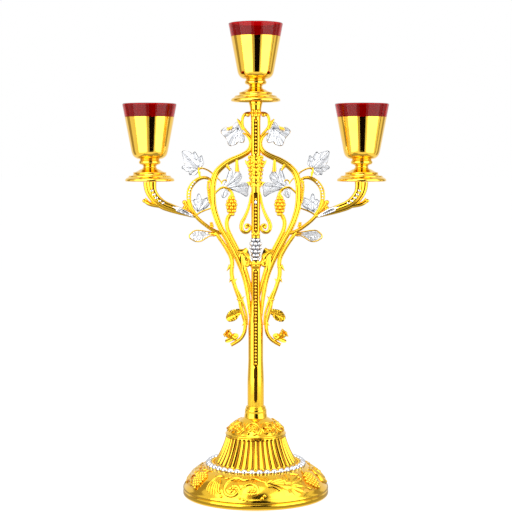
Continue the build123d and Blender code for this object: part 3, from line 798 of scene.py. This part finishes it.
for side_name, side in (("left", -1), ("right", 1)):
    node = side_name + "_"

    # Main vine, keeled, thickest below its shoulder
    vine = bmesh.new()
    rod(vine, [
        (15, 325), (9.7, 322), (6.2, 317), (5.3, 310.5), (8.5, 303.6), (13.8, 299.7), (20.9, 296.2), (28, 293.2),
        (35.1, 289.1), (41, 284.4), (45.8, 279.1), (48.7, 273.2), (50.9, 263), (51.1, 252), (50, 238), (47.1, 227),
        (41.8, 213.5), (33.5, 198.5), (24.8, 182), (18.7, 168.8), (13.4, 154), (10, 138), (8, 124), (6.6, 111),
        (5.6, 98),
    ], [0.9, 1.8, 2.4, 2.9, 3.2, 3.3, 3.4, 3.5, 3.6, 3.7, 3.8, 3.9, 3.9, 3.9, 3.8, 3.6, 3.5, 3.4, 3.3, 3.2, 3.0, 2.8,
        2.5, 2.2, 1.4], side, section=keel)
    rod(vine, [(22.6, 295), (22.2, 288), (22, 279.8)], [1.7, 2.0, 2.7], side)
    rod(vine, [(34.8, 289), (32.8, 284.5), (30.4, 281)], [2.1, 1.7, 0.9], side)
    rod(vine, [(30.6, 285.6), (33, 284.8), (35, 284)], [0.6, 1.0, 0.5], side)
    place_piece(vine, node + "vine_keeled", gold_plate, [node + "vine"], sharp=70)

    # Inner vine up to the side grapes
    inner = bmesh.new()
    rod(inner, [
        (31.2, 228), (33.8, 222), (34.2, 216), (32.6, 209.5), (29.3, 202), (24.6, 192.6), (20, 183.5), (15, 171.5),
        (11, 159), (7.8, 148), (5.4, 139), (3.6, 129),
    ], [2.6, 2.5, 2.5, 2.6, 2.7, 2.8, 2.8, 2.8, 2.6, 2.4, 2.0, 1.4], side, section=keel)
    place_piece(inner, node + "inner_vine_keeled", gold_plate, [node + "inner_vine"], sharp=70)

    # Branch to the arm, with its knot and bud
    branch = bmesh.new()
    rod(branch, [
        (37, 206.2), (43, 207.2), (50, 210), (58.5, 215.6), (66, 221.7), (74, 230.2), (79.5, 236.6), (84.2, 243),
    ], [1.8, 2.3, 2.3, 2.2, 2.2, 2.2, 2.3, 2.8], side, section=keel)
    bead(branch, (side * 84.2, 0, 243.4 + column_foot), 3.0, (1, 1, 0.9))
    for coil in range(3):
        place = (side * (52.0 + 0.3 * coil), -0.6, 214.6 + 2.1 * coil + column_foot)
        bead(branch, place, 2.5 - 0.25 * coil, (1.15, 1.1, 0.6))
    place_piece(branch, node + "branch_keeled", gold_plate, [node + "branch"], sharp=70)

    # Root vine with thorns and knots, and its second strand
    root = bmesh.new()
    rod(root, [
        (48.5, 209.6), (44.7, 203.3), (38.8, 194.9), (33.2, 186), (29.4, 178.5), (28.0, 171.6), (28.6, 163),
        (28.2, 155.5), (25.2, 144.8), (22.4, 136.4), (19.4, 127.8), (17.5, 118), (14.6, 107.5), (12.8, 100.5),
        (12.7, 92.5), (14.4, 86), (18.6, 80), (23.6, 76.4), (29.5, 73),
    ], [1.6, 2.3, 2.5, 2.7, 2.8, 2.7, 2.6, 2.6, 2.5, 2.4, 2.3, 2.3, 2.3, 2.3, 2.3, 2.2, 2.2, 2.3, 2.1], side,
        section=keel)
    rod(root, [(27, 150), (22.8, 140.6), (18.1, 131.4), (15, 123.4), (12.6, 116), (10.9, 108.5), (9.8, 97)],
        [1.2, 1.6, 1.7, 1.7, 1.6, 1.5, 0.8], side, y=-0.4)
    for tip, foot_of_thorn, size in (
        ((34.4, 161.6), (29.8, 168.5), 2.6), ((31.6, 148.0), (28.0, 153), 2.3), ((22.4, 152.6), (26, 148.6), 2.2),
        ((13.6, 131.6), (18.6, 125), 2.4), ((22.8, 127), (19.6, 131), 1.6), ((16.4, 96), (12.8, 100.5), 1.6),
    ):
        rod(root, [foot_of_thorn, tip], [size, 0.35], side)
    for knot in ((28.5, 151.5), (28.3, 166.4), (19.2, 127.4)):
        bead(root, (side * knot[0], 0, knot[1] + column_foot), 2.7, (1.1, 1.0, 0.7))
    place_piece(root, node + "root_vine_thorned", gold_plate, [node + "root_vine"], sharp=70)

    # Arm: a horn that thins towards the branch, with a leaf tip and a prong
    arm = bmesh.new()
    rod(arm, [
        (125.3, 267.4), (125.1, 262), (124.0, 256.5), (121.6, 251.6), (116.6, 245.4), (109.2, 240.0), (101.4, 236.8),
        (92, 233.6), (83.8, 231), (76.5, 228.6), (70, 226.4),
    ], [7.9, 7.6, 7.0, 6.5, 6.1, 5.7, 5.3, 4.7, 4.0, 3.2, 2.0], side, section=keel, detail=10)
    rod(arm, [(107, 238.4), (117, 239.6), (126, 241.6), (131.4, 244.6)], [2.4, 2.8, 2.7, 2.1], side)
    bead(arm, (side * 132.0, 0, 245.0 + column_foot), 2.3, (1.1, 1.0, 1.0))
    rod(arm, [(126, 243.4), (129.4, 246.2), (130.8, 248.6)], [1.0, 1.3, 0.6], side)
    for coil in range(4):
        place = (side * (84.6 - 0.6 * coil), 0, 233.6 + 2.0 * coil + column_foot)
        bead(arm, place, 4.0 - 0.5 * coil, (1.05, 1.05, 0.5), Matrix.Rotation(math.radians(-18 * side), 4, "Y"))
    place_piece(arm, node + "arm_horn", gold_plate, [node + "arm"], sharp=70)
    arm_trim = bmesh.new()
    trim_line = [(122.8, 257.2), (120.4, 252.6), (117.4, 248.6), (113.6, 245.0), (109.6, 242.3)]
    for face in (-1, 1):
        for i, (x, z) in enumerate(trim_line):
            bead(arm_trim, (side * x, face * (5.6 - 0.25 * i), z + column_foot), 2.0 - 0.12 * i, (1.25, 0.8, 1.0),
                 Matrix.Rotation(math.radians(40 * side), 4, "Y"))
        rod(arm_trim, [(98.5, 237.8), (92, 235.8), (86, 233.4), (79.4, 230.2), (74, 227.8)],
            [0.7, 2.4, 2.7, 2.2, 0.5], side, y=face * 3.2)
        for i in range(4):
            stroke = [(x - 5 * i, z - 1.9 * i) for x, z in ((95, 236.6), (92.4, 233.4), (88.4, 231.6))]
            rod(arm_trim, stroke, [0.5, 1.4, 0.5], side, y=face * 4.0)
    place_piece(arm_trim, node + "arm_silver_trim", silver_plate)

    # Loop vine with silver beads, and the twisted strap inside it
    loop = bmesh.new()
    rod(loop, [
        (48, 262.5), (50.6, 267.4), (54.8, 270.7), (60, 272.4), (66, 271.4), (71.4, 268), (75.8, 263), (78.4, 257.6),
        (79.2, 251.6), (79, 245.6), (76.8, 238), (73.6, 232), (70.5, 228),
    ], [1.3, 1.6, 1.8, 2.0, 2.3, 2.6, 2.8, 2.9, 2.9, 2.7, 2.4, 2.2, 1.7], side, y=-0.6, section=keel)
    rod(loop, [(54, 271), (56.4, 263.6), (55.9, 255), (54.6, 245.4), (51.6, 238.6), (49, 234.4)],
        [1.2, 1.4, 1.4, 1.4, 1.3, 1.0], side, y=-1.0)
    for i in range(9):
        share = i / 8
        bead(loop, (side * (56.4 - 2.2 * share ** 2), -2.1, 267.5 - 24 * share + column_foot), 1.35)
    rod(loop, [(65.4, 271.6), (66.1, 275.6), (66.0, 279.6)], [1.3, 1.0, 0.9], side)
    place_piece(loop, node + "loop_vine_keeled", gold_plate, [node + "loop_vine"], sharp=70)
    loop_beads = bmesh.new()
    for x, z in ((72.4, 267.2), (74.6, 264.6), (76.4, 261.6), (77.8, 258.4), (78.8, 255), (79.2, 251.4), (79.2, 248)):
        for face in (-1, 1):
            bead(loop_beads, (side * x, face * 2.2 - 0.6, z + column_foot), 1.35)
    place_piece(loop_beads, node + "loop_silver_beads", silver_plate)

    # Outer leaf on its bent wire
    outer_shape = ([
        (66.4, 281.6), (68.4, 280.6), (69.6, 277.3), (73, 275.6), (76, 276.4), (78.2, 275.8), (78.9, 279.3),
        (82.4, 280.3), (84.6, 282.4), (87.2, 283.8), (86, 286.2), (83, 287.6), (84.8, 290.9), (85.4, 296),
        (86.7, 300.3), (86.5, 303.5), (81.6, 303), (77.1, 302.1), (74.7, 300.3), (72.3, 302.9), (69.6, 299.4),
        (66.7, 296.2), (64.1, 298.4), (63, 294.6), (61.5, 289.7), (62.8, 286.8), (64.6, 284.4),
    ], (67, 283.4), [(86.5, 303.5), (72.3, 302.9), (64.1, 298.4), (87.2, 283.8), (78.2, 275.8)])
    silver_leaf("outer_leaf", [(outer_shape, 0.0, 1.2)])
    outer_wire = bmesh.new()
    rod(outer_wire, [(48.6, 274.5), (53.6, 279.3), (58.8, 282.2), (63.4, 283.5), (67.4, 282.8)],
        [1.1, 1.05, 1.0, 1.0, 1.1], side, y=0.3)
    rod(outer_wire, [(67.2, 284.2), (67.6, 280), (66.6, 275.5), (65.6, 271)], [1.2, 1.1, 1.0, 1.1], side, y=0.3)
    place_piece(outer_wire, node + "outer_leaf_stem", gold_plate)

    # Leaf inside the loop, dark at its foot
    loop_shape = ([
        (69.4, 229.6), (71.8, 232), (73.6, 234.2), (75.6, 236.4), (76.6, 239.4), (77.4, 242.2), (78.2, 244.9),
        (74.6, 244.8), (72.2, 246.8), (70.2, 246), (69.2, 250), (67.5, 253.4), (65.6, 250.2), (63.4, 246.4),
        (60.4, 247.4), (57.4, 248.5), (57, 244.8), (55.2, 241.2), (56.6, 238.6), (59.6, 236), (63, 233.6),
        (66.4, 231.2),
    ], (68.6, 232.4), [(78.2, 244.9), (67.5, 253.4), (57.4, 248.5), (56.2, 239), (72.6, 247)])
    silver_leaf("loop_leaf", [(loop_shape, -1.4, 1.1)])
    loop_leaf_stem = bmesh.new()
    rod(loop_leaf_stem, [(70.4, 228.4), (66, 231.2), (61, 233.4), (55, 235.6), (49.4, 237)],
        [1.3, 1.2, 1.0, 1.0, 1.1], side)
    place_piece(loop_leaf_stem, node + "loop_leaf_stem", gold_plate)

    # Oval leaf below the branch: pitted silver in a gold rim
    oval_outline = [
        (47.4, 204.8), (54.2, 208), (60.1, 209), (66, 209.9), (70.8, 209.9), (75, 208), (78.8, 202.3), (75.6, 199.1),
        (70.9, 196.9), (64.9, 197.2), (59, 200.7), (54.2, 203.3),
    ]
    oval_leaf = bmesh.new()
    veined_leaf(oval_leaf, oval_outline, (62, 203.6), [(78.8, 202.3), (47.4, 204.8)], side, dome=0.3, pleat=0.5,
                vein=0.35, thick=1.4)
    place_piece(
        oval_leaf, node + "oval_leaf_pitted", pitted_silver, [node + "oval_leaf"], sharp=75,
    )
    oval_rim = bmesh.new()
    rod(oval_rim, oval_outline, 0.75, side, closed=True)
    rod(oval_rim, [(45.5, 204.8), (50, 205.6), (56, 206)], [2.0, 1.3, 0.6], side)
    place_piece(oval_rim, node + "oval_leaf_rim", gold_plate)

    # Side grapes on their bent stem, with the ribbed sepals above them
    grapes = bmesh.new()
    bunch_x = 28.7
    berry_bunch(grapes, (1.7, 3.6, 4.7, 5.0, 4.6, 3.0), low=333.4, berry=2.4, pitch=3.75, x=side * bunch_x)
    turned(grapes, [(0, 333), (1.5, 333), (3.8, 344, 1), (3.6, 352, 1), (1.5, 356), (0, 356)], steps=24,
           x=side * bunch_x)
    rod(grapes, [
        (50.5, 249), (48.2, 253.6), (44.6, 257.5), (40, 260.6), (35.4, 260.4), (31.2, 258), (28.2, 254),
        (27.4, 249.6), (28.4, 246),
    ], [1.3, 1.3, 1.3, 1.4, 1.5, 1.7, 1.9, 2.1, 2.6], side)
    for sepal in range(6):
        angle = math.radians(60 * sepal)
        rod(grapes, [
            (28.2 + 1.3 * math.cos(angle), 252.6, 1.3 * math.sin(angle)),
            (28.5 + 2.4 * math.cos(angle), 249.6, 2.4 * math.sin(angle)),
            (28.7 + 3.4 * math.cos(angle), 246.2, 3.4 * math.sin(angle)),
        ], [0.7, 1.3, 0.5], side)
    place_piece(grapes, node + "side_grape_bunch", gold_plate, [node + "grape_bunch"])

    # Trefoil leaf on the bend of the stem: three curved lobes and a small turned-down one
    silver_leaf("trefoil_leaf", [
        (([(37.6, 261.2), (35.8, 266.6), (34, 272.6), (31.6, 279.6), (30.2, 283.4), (28, 279.1), (27.3, 274),
           (28.4, 268.6), (31.4, 264.2)], (35.6, 263.4), [(30.2, 283.4)]), -0.6, 1.1),
        (([(35.4, 262.6), (30, 266.6), (27, 271.8), (24.4, 277), (21.6, 281.4), (18.4, 277.4), (16.6, 274),
           (19.2, 268.4), (24, 264.6), (30, 261.4)], (32.6, 263), [(21.6, 281.4), (19, 272)]), 0.0, 1.1),
        (([(36, 260.6), (29.4, 262.6), (22, 264.6), (15.4, 266), (10.4, 265.4), (8.3, 261.9), (9.4, 257.6),
           (10.4, 250.4), (14.8, 252.4), (19.6, 254.8), (26, 257.4), (32, 258.6)], (32, 260.4),
          [(10.4, 250.4), (9, 263)]), -0.3, 1.1),
        (([(37.6, 260), (33.6, 258.4), (32.6, 253.8), (35.6, 250.2), (38.7, 248.7), (40.6, 253.4), (39.8, 257.8)],
          (37, 256.6), [(38.7, 248.7)]), -1.0, 1.1),
    ])

    # Curl beside the neck
    curl = bmesh.new()
    rod(curl, [
        (3.5, 348.6), (8, 348.4), (12.2, 347.2), (15.2, 343.2), (15.6, 338), (15.0, 332.6), (12, 328), (8.5, 323.9),
        (5.4, 319.4),
    ], [1.2, 1.8, 2.0, 1.8, 1.6, 1.6, 1.7, 1.7, 1.2], side, section=keel)
    bead(curl, (side * 9.2, 0, 452.4), 2.9, (1.0, 0.9, 0.9))
    place_piece(curl, node + "upper_curl_keeled", gold_plate, [node + "upper_curl"], sharp=70)

    # Hanging leaf with a gold rim, and its twisted calyx
    upper_outline = [
        (40.8, 326.8), (39.6, 329), (38, 330.3), (35.1, 331.7), (31.5, 330.9), (29.2, 331.5), (26.2, 333.3),
        (23.4, 336.8), (20.6, 337.6), (17.9, 334.6), (15.8, 330), (15.0, 325.6), (13.8, 321), (14.4, 314.3),
        (18, 314.3), (20.3, 315), (22.7, 312.5), (25.6, 311.1), (29.8, 310.2), (32.7, 312.5), (33.3, 316.2),
        (35.1, 319.2), (38, 322.7),
    ]
    upper_shape = (
        upper_outline, (20.5, 331.5), [(40.8, 326.8), (35.1, 319.6), (29.8, 310.2), (22.7, 312.5), (14.4, 314.3)],
    )
    silver_leaf("upper_leaf", [(upper_shape, -0.4, 1.2)])
    upper_rim = bmesh.new()
    rod(upper_rim, upper_outline, 0.5, side, closed=True, y=0.9)
    for strand in range(3):
        rod(upper_rim, [(21.8 - 2.0 * strand, 341.4 - 1.2 * strand), (18.6 - 1.2 * strand, 336.6 - 1.2 * strand),
                        (16.4 - 0.6 * strand, 331 - 1.0 * strand)], [1.0, 1.5, 1.0], side, y=-0.8)
    for rib in range(4):
        rod(upper_rim, [(27.6 + 1.7 * rib, 333.6 - 0.6 * rib), (29.4 + 1.5 * rib, 329.6 - 0.5 * rib)], [0.5, 0.6],
            side, y=-1.9)
    place_piece(upper_rim, node + "upper_leaf_rim", gold_plate)

    # Lyre scroll below the crown
    lyre = bmesh.new()
    rod(lyre, [
        (3.6, 258), (5.8, 250), (6.9, 243), (9.6, 233.4), (13.2, 225.2), (16.2, 219.4), (17.2, 213.6), (15.2, 209.0),
        (11.5, 207.6), (8.0, 209.4), (6.8, 212.8), (8.4, 216.0), (11.2, 216.0), (11.8, 213.4),
    ], [1.2, 1.5, 1.7, 1.9, 2.2, 2.4, 2.4, 2.2, 2.1, 2.0, 1.9, 2.0, 2.1, 1.8], side)
    bead(lyre, (side * 11.0, 0, 213.6 + column_foot), 2.2, (1, 1.1, 1))
    place_piece(lyre, node + "lyre_scroll_rolled", gold_plate, [node + "lyre_scroll"])

    # Calyx leaf that clasps the vines under the silver grapes
    calyx = bmesh.new()
    for face in (-1, 1):
        veined_leaf(calyx, [
            (21, 186.6), (18, 187.6), (15.1, 187.6), (11.5, 189.0), (9.4, 187), (8.5, 184.6), (7.0, 179.6),
            (5.9, 174), (5.7, 169.6), (8, 167.2), (10.9, 165.8), (13.9, 162.8), (17.3, 167.6), (18.4, 173),
            (19, 177.6), (20.2, 182),
        ], (16.4, 184), [(11.5, 189.0), (5.9, 172), (13.9, 162.8), (20, 181), (9.2, 178)], side, y=face * 3.0,
            dome=0.2, pleat=face * -1.0, vein=0.3, thick=1.0, rings=(1, 0.9, 0.76, 0.6, 0.42, 0.24, 0.1))
        rod(calyx, [(19.6, 184.6), (15.4, 183.4), (11.6, 179.8), (8.4, 174.4)], [0.6, 1.3, 1.2, 0.5], side,
            y=face * 4.4)
        rod(calyx, scroll_points(11.2, 169.6, 75, 350, 3.4, 1.4, 8), [0.8, 1.3, 1.5, 1.5, 1.4, 1.3, 1.2, 1.0], side,
            y=face * 3.8)
    bead(calyx, (side * 11.6, 0, 178 + column_foot), 4.4, (1.2, 0.8, 1.8))
    place_piece(calyx, node + "calyx_leaf_curled", gold_plate, [node + "calyx_leaf"], sharp=75)

    # Pitted leaf and hollow flower on the root vine
    twig_leaf = bmesh.new()
    veined_leaf(twig_leaf, [
        (15.5, 113.8), (19.3, 116.2), (24.7, 115.9), (30, 114.4), (33.6, 110.8), (35.4, 104.8), (32.4, 101.2),
        (28.2, 101.2), (22.9, 103.6), (19.9, 107.8),
    ], (24, 109.6), [(35.4, 104.8), (15.5, 113.8)], side, dome=0.4, pleat=0.9, vein=0.8, thick=1.5)
    place_piece(twig_leaf, node + "twig_leaf_pitted", pitted_gold, [node + "twig_leaf"], sharp=75)
    flower = bmesh.new()
    rod(flower, [(21, 78), (25, 80.4), (29, 83.6)], [1.6, 1.9, 2.6], side)
    veined_leaf(flower, [
        (20.5, 85.6), (24, 87.4), (28, 86.2), (32, 82.4), (36.6, 76.4), (33, 75.6), (28.6, 77.6), (24, 79.8),
        (21, 82.4),
    ], (23, 83.6), [(36.6, 76.4)], side, y=-2.6, dome=0.6, pleat=0.5, vein=0.5, thick=2.2,
        twist=0.45 * side)
    lean = (
        Matrix.Translation((side * 29.2, 0, 82.8 + column_foot))
        @ Matrix.Rotation(math.radians(44 * side), 4, "Y") @ Matrix.Rotation(math.radians(22), 4, "X")
    )
    cup = bmesh.new()
    turned(cup, [
        (0, 0), (2.6, 0.4, 1), (4.1, 3.2, 1), (4.4, 6.0, 1), (5.0, 8.0), (4.4, 8.2), (3.7, 6.0, 1), (3.2, 2.8, 1),
        (0, 1.8),
    ], steps=30)
    for petal in range(5):
        angle = 2 * math.pi * petal / 5
        place = (4.6 * math.cos(angle), 4.6 * math.sin(angle), 7.8)
        bead(cup, place, 1.6, (1.1, 1.3, 0.45), Matrix.Rotation(angle, 4, "Z"))
    bmesh.ops.transform(cup, matrix=lean, verts=cup.verts)
    move_into(flower, cup)
    place_piece(flower, node + "twig_flower_open", gold_plate, [node + "twig_flower"])

    # Small tendrils beside the vine
    tendrils = bmesh.new()
    rod(tendrils, [(47.6, 277), (45.6, 272.6), (42.4, 269.2), (40.2, 266.4)], [0.8, 0.8, 0.8, 0.9], side)
    rod(tendrils, [(40.4, 264.6), (39.6, 267.8), (36.9, 269.6), (34.2, 268.8), (33.2, 266.8)],
        [0.8, 0.9, 0.9, 0.9, 0.5], side)
    place_piece(tendrils, node + "vine_tendrils", gold_plate)


# One light: pan, knop, cup and glass at each of the three seats, heights from the seat or the foot of the piece

side_seat, centre_seat = 373.5, 467.5
knop_rise, cup_rise, lip_rise = 18.0, 26.5, 89.4
for light, x, seat in (
    ("left", -light_offset, side_seat), ("centre", 0.0, centre_seat), ("right", light_offset, side_seat),
):
    pan = bmesh.new()
    turned(pan, [
        (3.2, 0), (8.2, 0), (8.4, 8, 1), (9.6, 10.6, 1), (12.4, 10.6, 1), (15.8, 8.6, 1), (18.6, 4.9, 1),
        (21.6, 4.2, 1), (24.6, 3.4, 1), (27, 1.0, 1), (28.4, 0.5, 1), (29.2, 1.7, 1), (28.5, 3.6, 1), (26.4, 5.0, 1),
        (24.2, 6.6), (23.6, 6.8, 1), (21.2, 7.2, 1), (19.6, 8.9, 1), (18.4, 10.9), (17.2, 11.6, 1), (14.6, 12.8, 1),
        (12.2, 14.2), (11, 14.8, 1), (9.0, 15.6, 1), (7.9, 17.2, 1), (7.6, knop_rise), (3.2, knop_rise),
    ], x=x, z=seat)
    for ring_r, ring_h in ((18.7, 10.4), (24.0, 6.3)):
        turned(pan, [
            (ring_r - 1, ring_h, 1), (ring_r, ring_h + 1, 1), (ring_r + 1, ring_h, 1), (ring_r, ring_h - 1, 1),
        ], x=x, z=seat, detail=3)
    place_piece(pan, light + "_drip_pan_spun", spun_gold, [light + "_drip_pan"], sharp=30)
    knop = bmesh.new()
    turned(knop, [
        (3.2, 0), (7.6, 0), (8.0, 0.9, 1), (9.8, 2.2, 1), (11.6, 2.7, 1), (12.6, 4.0, 1), (12.8, 5.6, 1),
        (12.0, 7.0, 1), (11.4, 7.5), (11.6, 8.0, 1), (11.3, 8.5), (3.2, 8.5),
    ], x=x, z=seat + knop_rise)
    place_piece(knop, light + "_knop_turned", spun_gold, [light + "_knop"], sharp=30)
    cup = bmesh.new()
    turned(cup, [
        (3.2, 0), (11.9, 0), (14.2, 0.5, 1), (17.2, 2.0, 1), (19.6, 4.4, 1), (20.95, 7.3, 1), (21.66, 10),
        (29.3, 49.8), (28.9, 50.0, 1), (28.4, 49.9), (20.86, 10), (20.2, 7.6, 1), (18.8, 4.9, 1), (16.5, 2.9, 1),
        (13.8, 1.7), (3.2, 1.6),
    ], x=x, z=seat + cup_rise)
    place_piece(cup, light + "_cup_spun", spun_gold, [light + "_cup"], sharp=30)
    glass = bmesh.new()
    turned(glass, [
        (0, 34), (18.6, 34), (19.6, 34.4, 1), (20.0, 35.5), (28.05, 76.2), (28.4, 76.6), (29.2, 76.6), (31.9, 90.7),
        (31.9, 91.3, 1), (31.4, 91.88, 1), (30.4, 91.88, 1), (29.7, 91.5, 1), (29.55, 91.0), (26.2, 76.5),
        (18.0, 39.6), (17.3, 38.4, 1), (16.2, 38), (0, 38),
    ], x=x, z=seat, detail=4)
    # Faces above the lip height take the lighter red: painted light.
    place_piece(
        glass, light + "_glass_pressed", ruby, [light + "_glass"], "glass_" + light, sharp=30,
        more_materials=[lip_painted_light_ruby], second_where=lambda place, lip=seat + lip_rise: place.z > lip,
    )

bpy.data.objects.remove(keel)


# Studio: pale floor, white surroundings, soft lamps, and dark flags that draw the dark bands in the metal

def seen_as_background(tree):
    """1 where a camera, glossy or transmission ray looks, 0 for the light on the object."""
    path = add_node(tree, "ShaderNodeLightPath")
    first = add_node(
        tree, "ShaderNodeMath", {"operation": "MAXIMUM"},
        {0: path.outputs["Is Camera Ray"], 1: path.outputs["Is Glossy Ray"]},
    )
    return add_node(
        tree, "ShaderNodeMath", {"operation": "MAXIMUM"},
        {0: first.outputs[0], 1: path.outputs["Is Transmission Ray"]},
    ).outputs[0]


world = bpy.data.worlds.new("studio")
scene.world = world
world.use_nodes = True
world.node_tree.nodes.clear()
strength = add_node(
    world.node_tree, "ShaderNodeMapRange", None,
    {"Value": seen_as_background(world.node_tree), "To Min": 0.6, "To Max": 1.0},
)
background = add_node(
    world.node_tree, "ShaderNodeBackground", None,
    {"Color": (1, 1, 1, 1), "Strength": strength.outputs["Result"]},
)
add_node(world.node_tree, "ShaderNodeOutputWorld", None, {"Surface": background.outputs["Background"]})

floor_paper, tree = new_material("white_paper_floor")
matt = add_node(tree, "ShaderNodeBsdfDiffuse", None, {"Color": linear("#F4F4F4")})
paper_share = add_node(tree, "ShaderNodeMath", {"operation": "MULTIPLY"}, {0: seen_as_background(tree), 1: 0.8})
lit = add_node(tree, "ShaderNodeEmission", None, {"Color": (1, 1, 1, 1), "Strength": 1.12})
paper = add_node(
    tree, "ShaderNodeMixShader", None,
    {0: paper_share.outputs[0], 1: matt.outputs["BSDF"], 2: lit.outputs["Emission"]},
)
add_node(tree, "ShaderNodeOutputMaterial", None, {"Surface": paper.outputs["Shader"]})
floor = bmesh.new()
bmesh.ops.create_grid(floor, x_segments=1, y_segments=1, size=30.0)
floor_mesh = bpy.data.meshes.new("studio_floor")
floor.to_mesh(floor_mesh)
floor.free()
floor_mesh.materials.append(floor_paper)
studio_floor = bpy.data.objects.new("studio_floor", floor_mesh)
scene.collection.objects.link(studio_floor)


def card(name, grey, width, height, matrix):
    """Card seen only in the reflections of the stand."""
    material, tree = new_material(name)
    shade = add_node(tree, "ShaderNodeEmission", None, {"Color": (*grey, 1), "Strength": 1.0})
    add_node(tree, "ShaderNodeOutputMaterial", None, {"Surface": shade.outputs["Emission"]})
    sheet = bmesh.new()
    bmesh.ops.create_grid(sheet, x_segments=1, y_segments=1, size=0.5, matrix=Matrix.Diagonal((width, height, 1, 1)))
    bmesh.ops.transform(sheet, verts=sheet.verts, matrix=matrix)
    mesh = bpy.data.meshes.new(name)
    sheet.to_mesh(mesh)
    sheet.free()
    mesh.materials.append(material)
    piece = bpy.data.objects.new(name, mesh)
    scene.collection.objects.link(piece)
    piece.visible_camera = False
    piece.visible_diffuse = False
    piece.visible_shadow = False
    piece.visible_transmission = False


def flag(name, bearing, spread, low, high, distance, grey):
    """Upright card around the stand, as wide as an angle. Bearing in degrees from the front to the right."""
    width = 2 * distance * math.tan(math.radians(spread / 2))
    upright = Matrix.Translation((0, -distance, (low + high) / 2)) @ Matrix.Rotation(math.radians(90), 4, "X")
    card(name, grey, width, high - low, Matrix.Rotation(math.radians(bearing), 4, "Z") @ upright)


flag("flag_front", 8, 30, -0.1, 1.2, 0.80, (0.006, 0.003, 0.002))
flag("flag_front_grey", -12, 7, -0.1, 1.2, 0.82, (0.6, 0.55, 0.5))
flag("flag_right_thin", 94, 3, -0.1, 1.2, 0.85, (0.02, 0.02, 0.02))
flag("flag_left_side", -110, 20, -0.1, 1.4, 0.9, (0.42, 0.38, 0.34))
flag("flag_right_side", 118, 16, -0.1, 1.4, 0.9, (0.45, 0.41, 0.37))
card("card_under", (0.5, 0.48, 0.45), 0.9, 0.9, Matrix.Translation((0, 0, 0.002)))


def lamp(name, bearing, rise, distance, width, height, watts):
    """Soft rectangular lamp that looks at the middle of the stand."""
    light = bpy.data.lights.new(name, "AREA")
    light.shape = "RECTANGLE"
    light.size = width
    light.size_y = height
    light.energy = watts
    holder = bpy.data.objects.new(name, light)
    scene.collection.objects.link(holder)
    aim = Vector((0, 0, 0.28))
    angle, up = math.radians(bearing), math.radians(rise)
    out = Vector((math.sin(angle) * math.cos(up), -math.cos(angle) * math.cos(up), math.sin(up)))
    holder.location = aim + out * distance
    holder.rotation_euler = (-out).to_track_quat("-Z", "Y").to_euler()


lamp("softbox_left", -46, 8, 0.8, 0.8, 1.15, 7.4)
lamp("softbox_right", 56, 8, 0.8, 0.74, 1.15, 6.6)
lamp("softbox_top", -20, 62, 1.6, 1.0, 0.8, 8)

camera = bpy.data.cameras.new("camera")
camera.sensor_width = 36.0
camera.lens = 98.4375
viewpoint = bpy.data.objects.new("camera", camera)
scene.collection.objects.link(viewpoint)
viewpoint.location = (0.00036, -1.659, 0.39924)
viewpoint.rotation_euler = (math.radians(90 - 3.9227), 0, 0)
scene.camera = viewpoint
scene.view_settings.view_transform = "Standard"
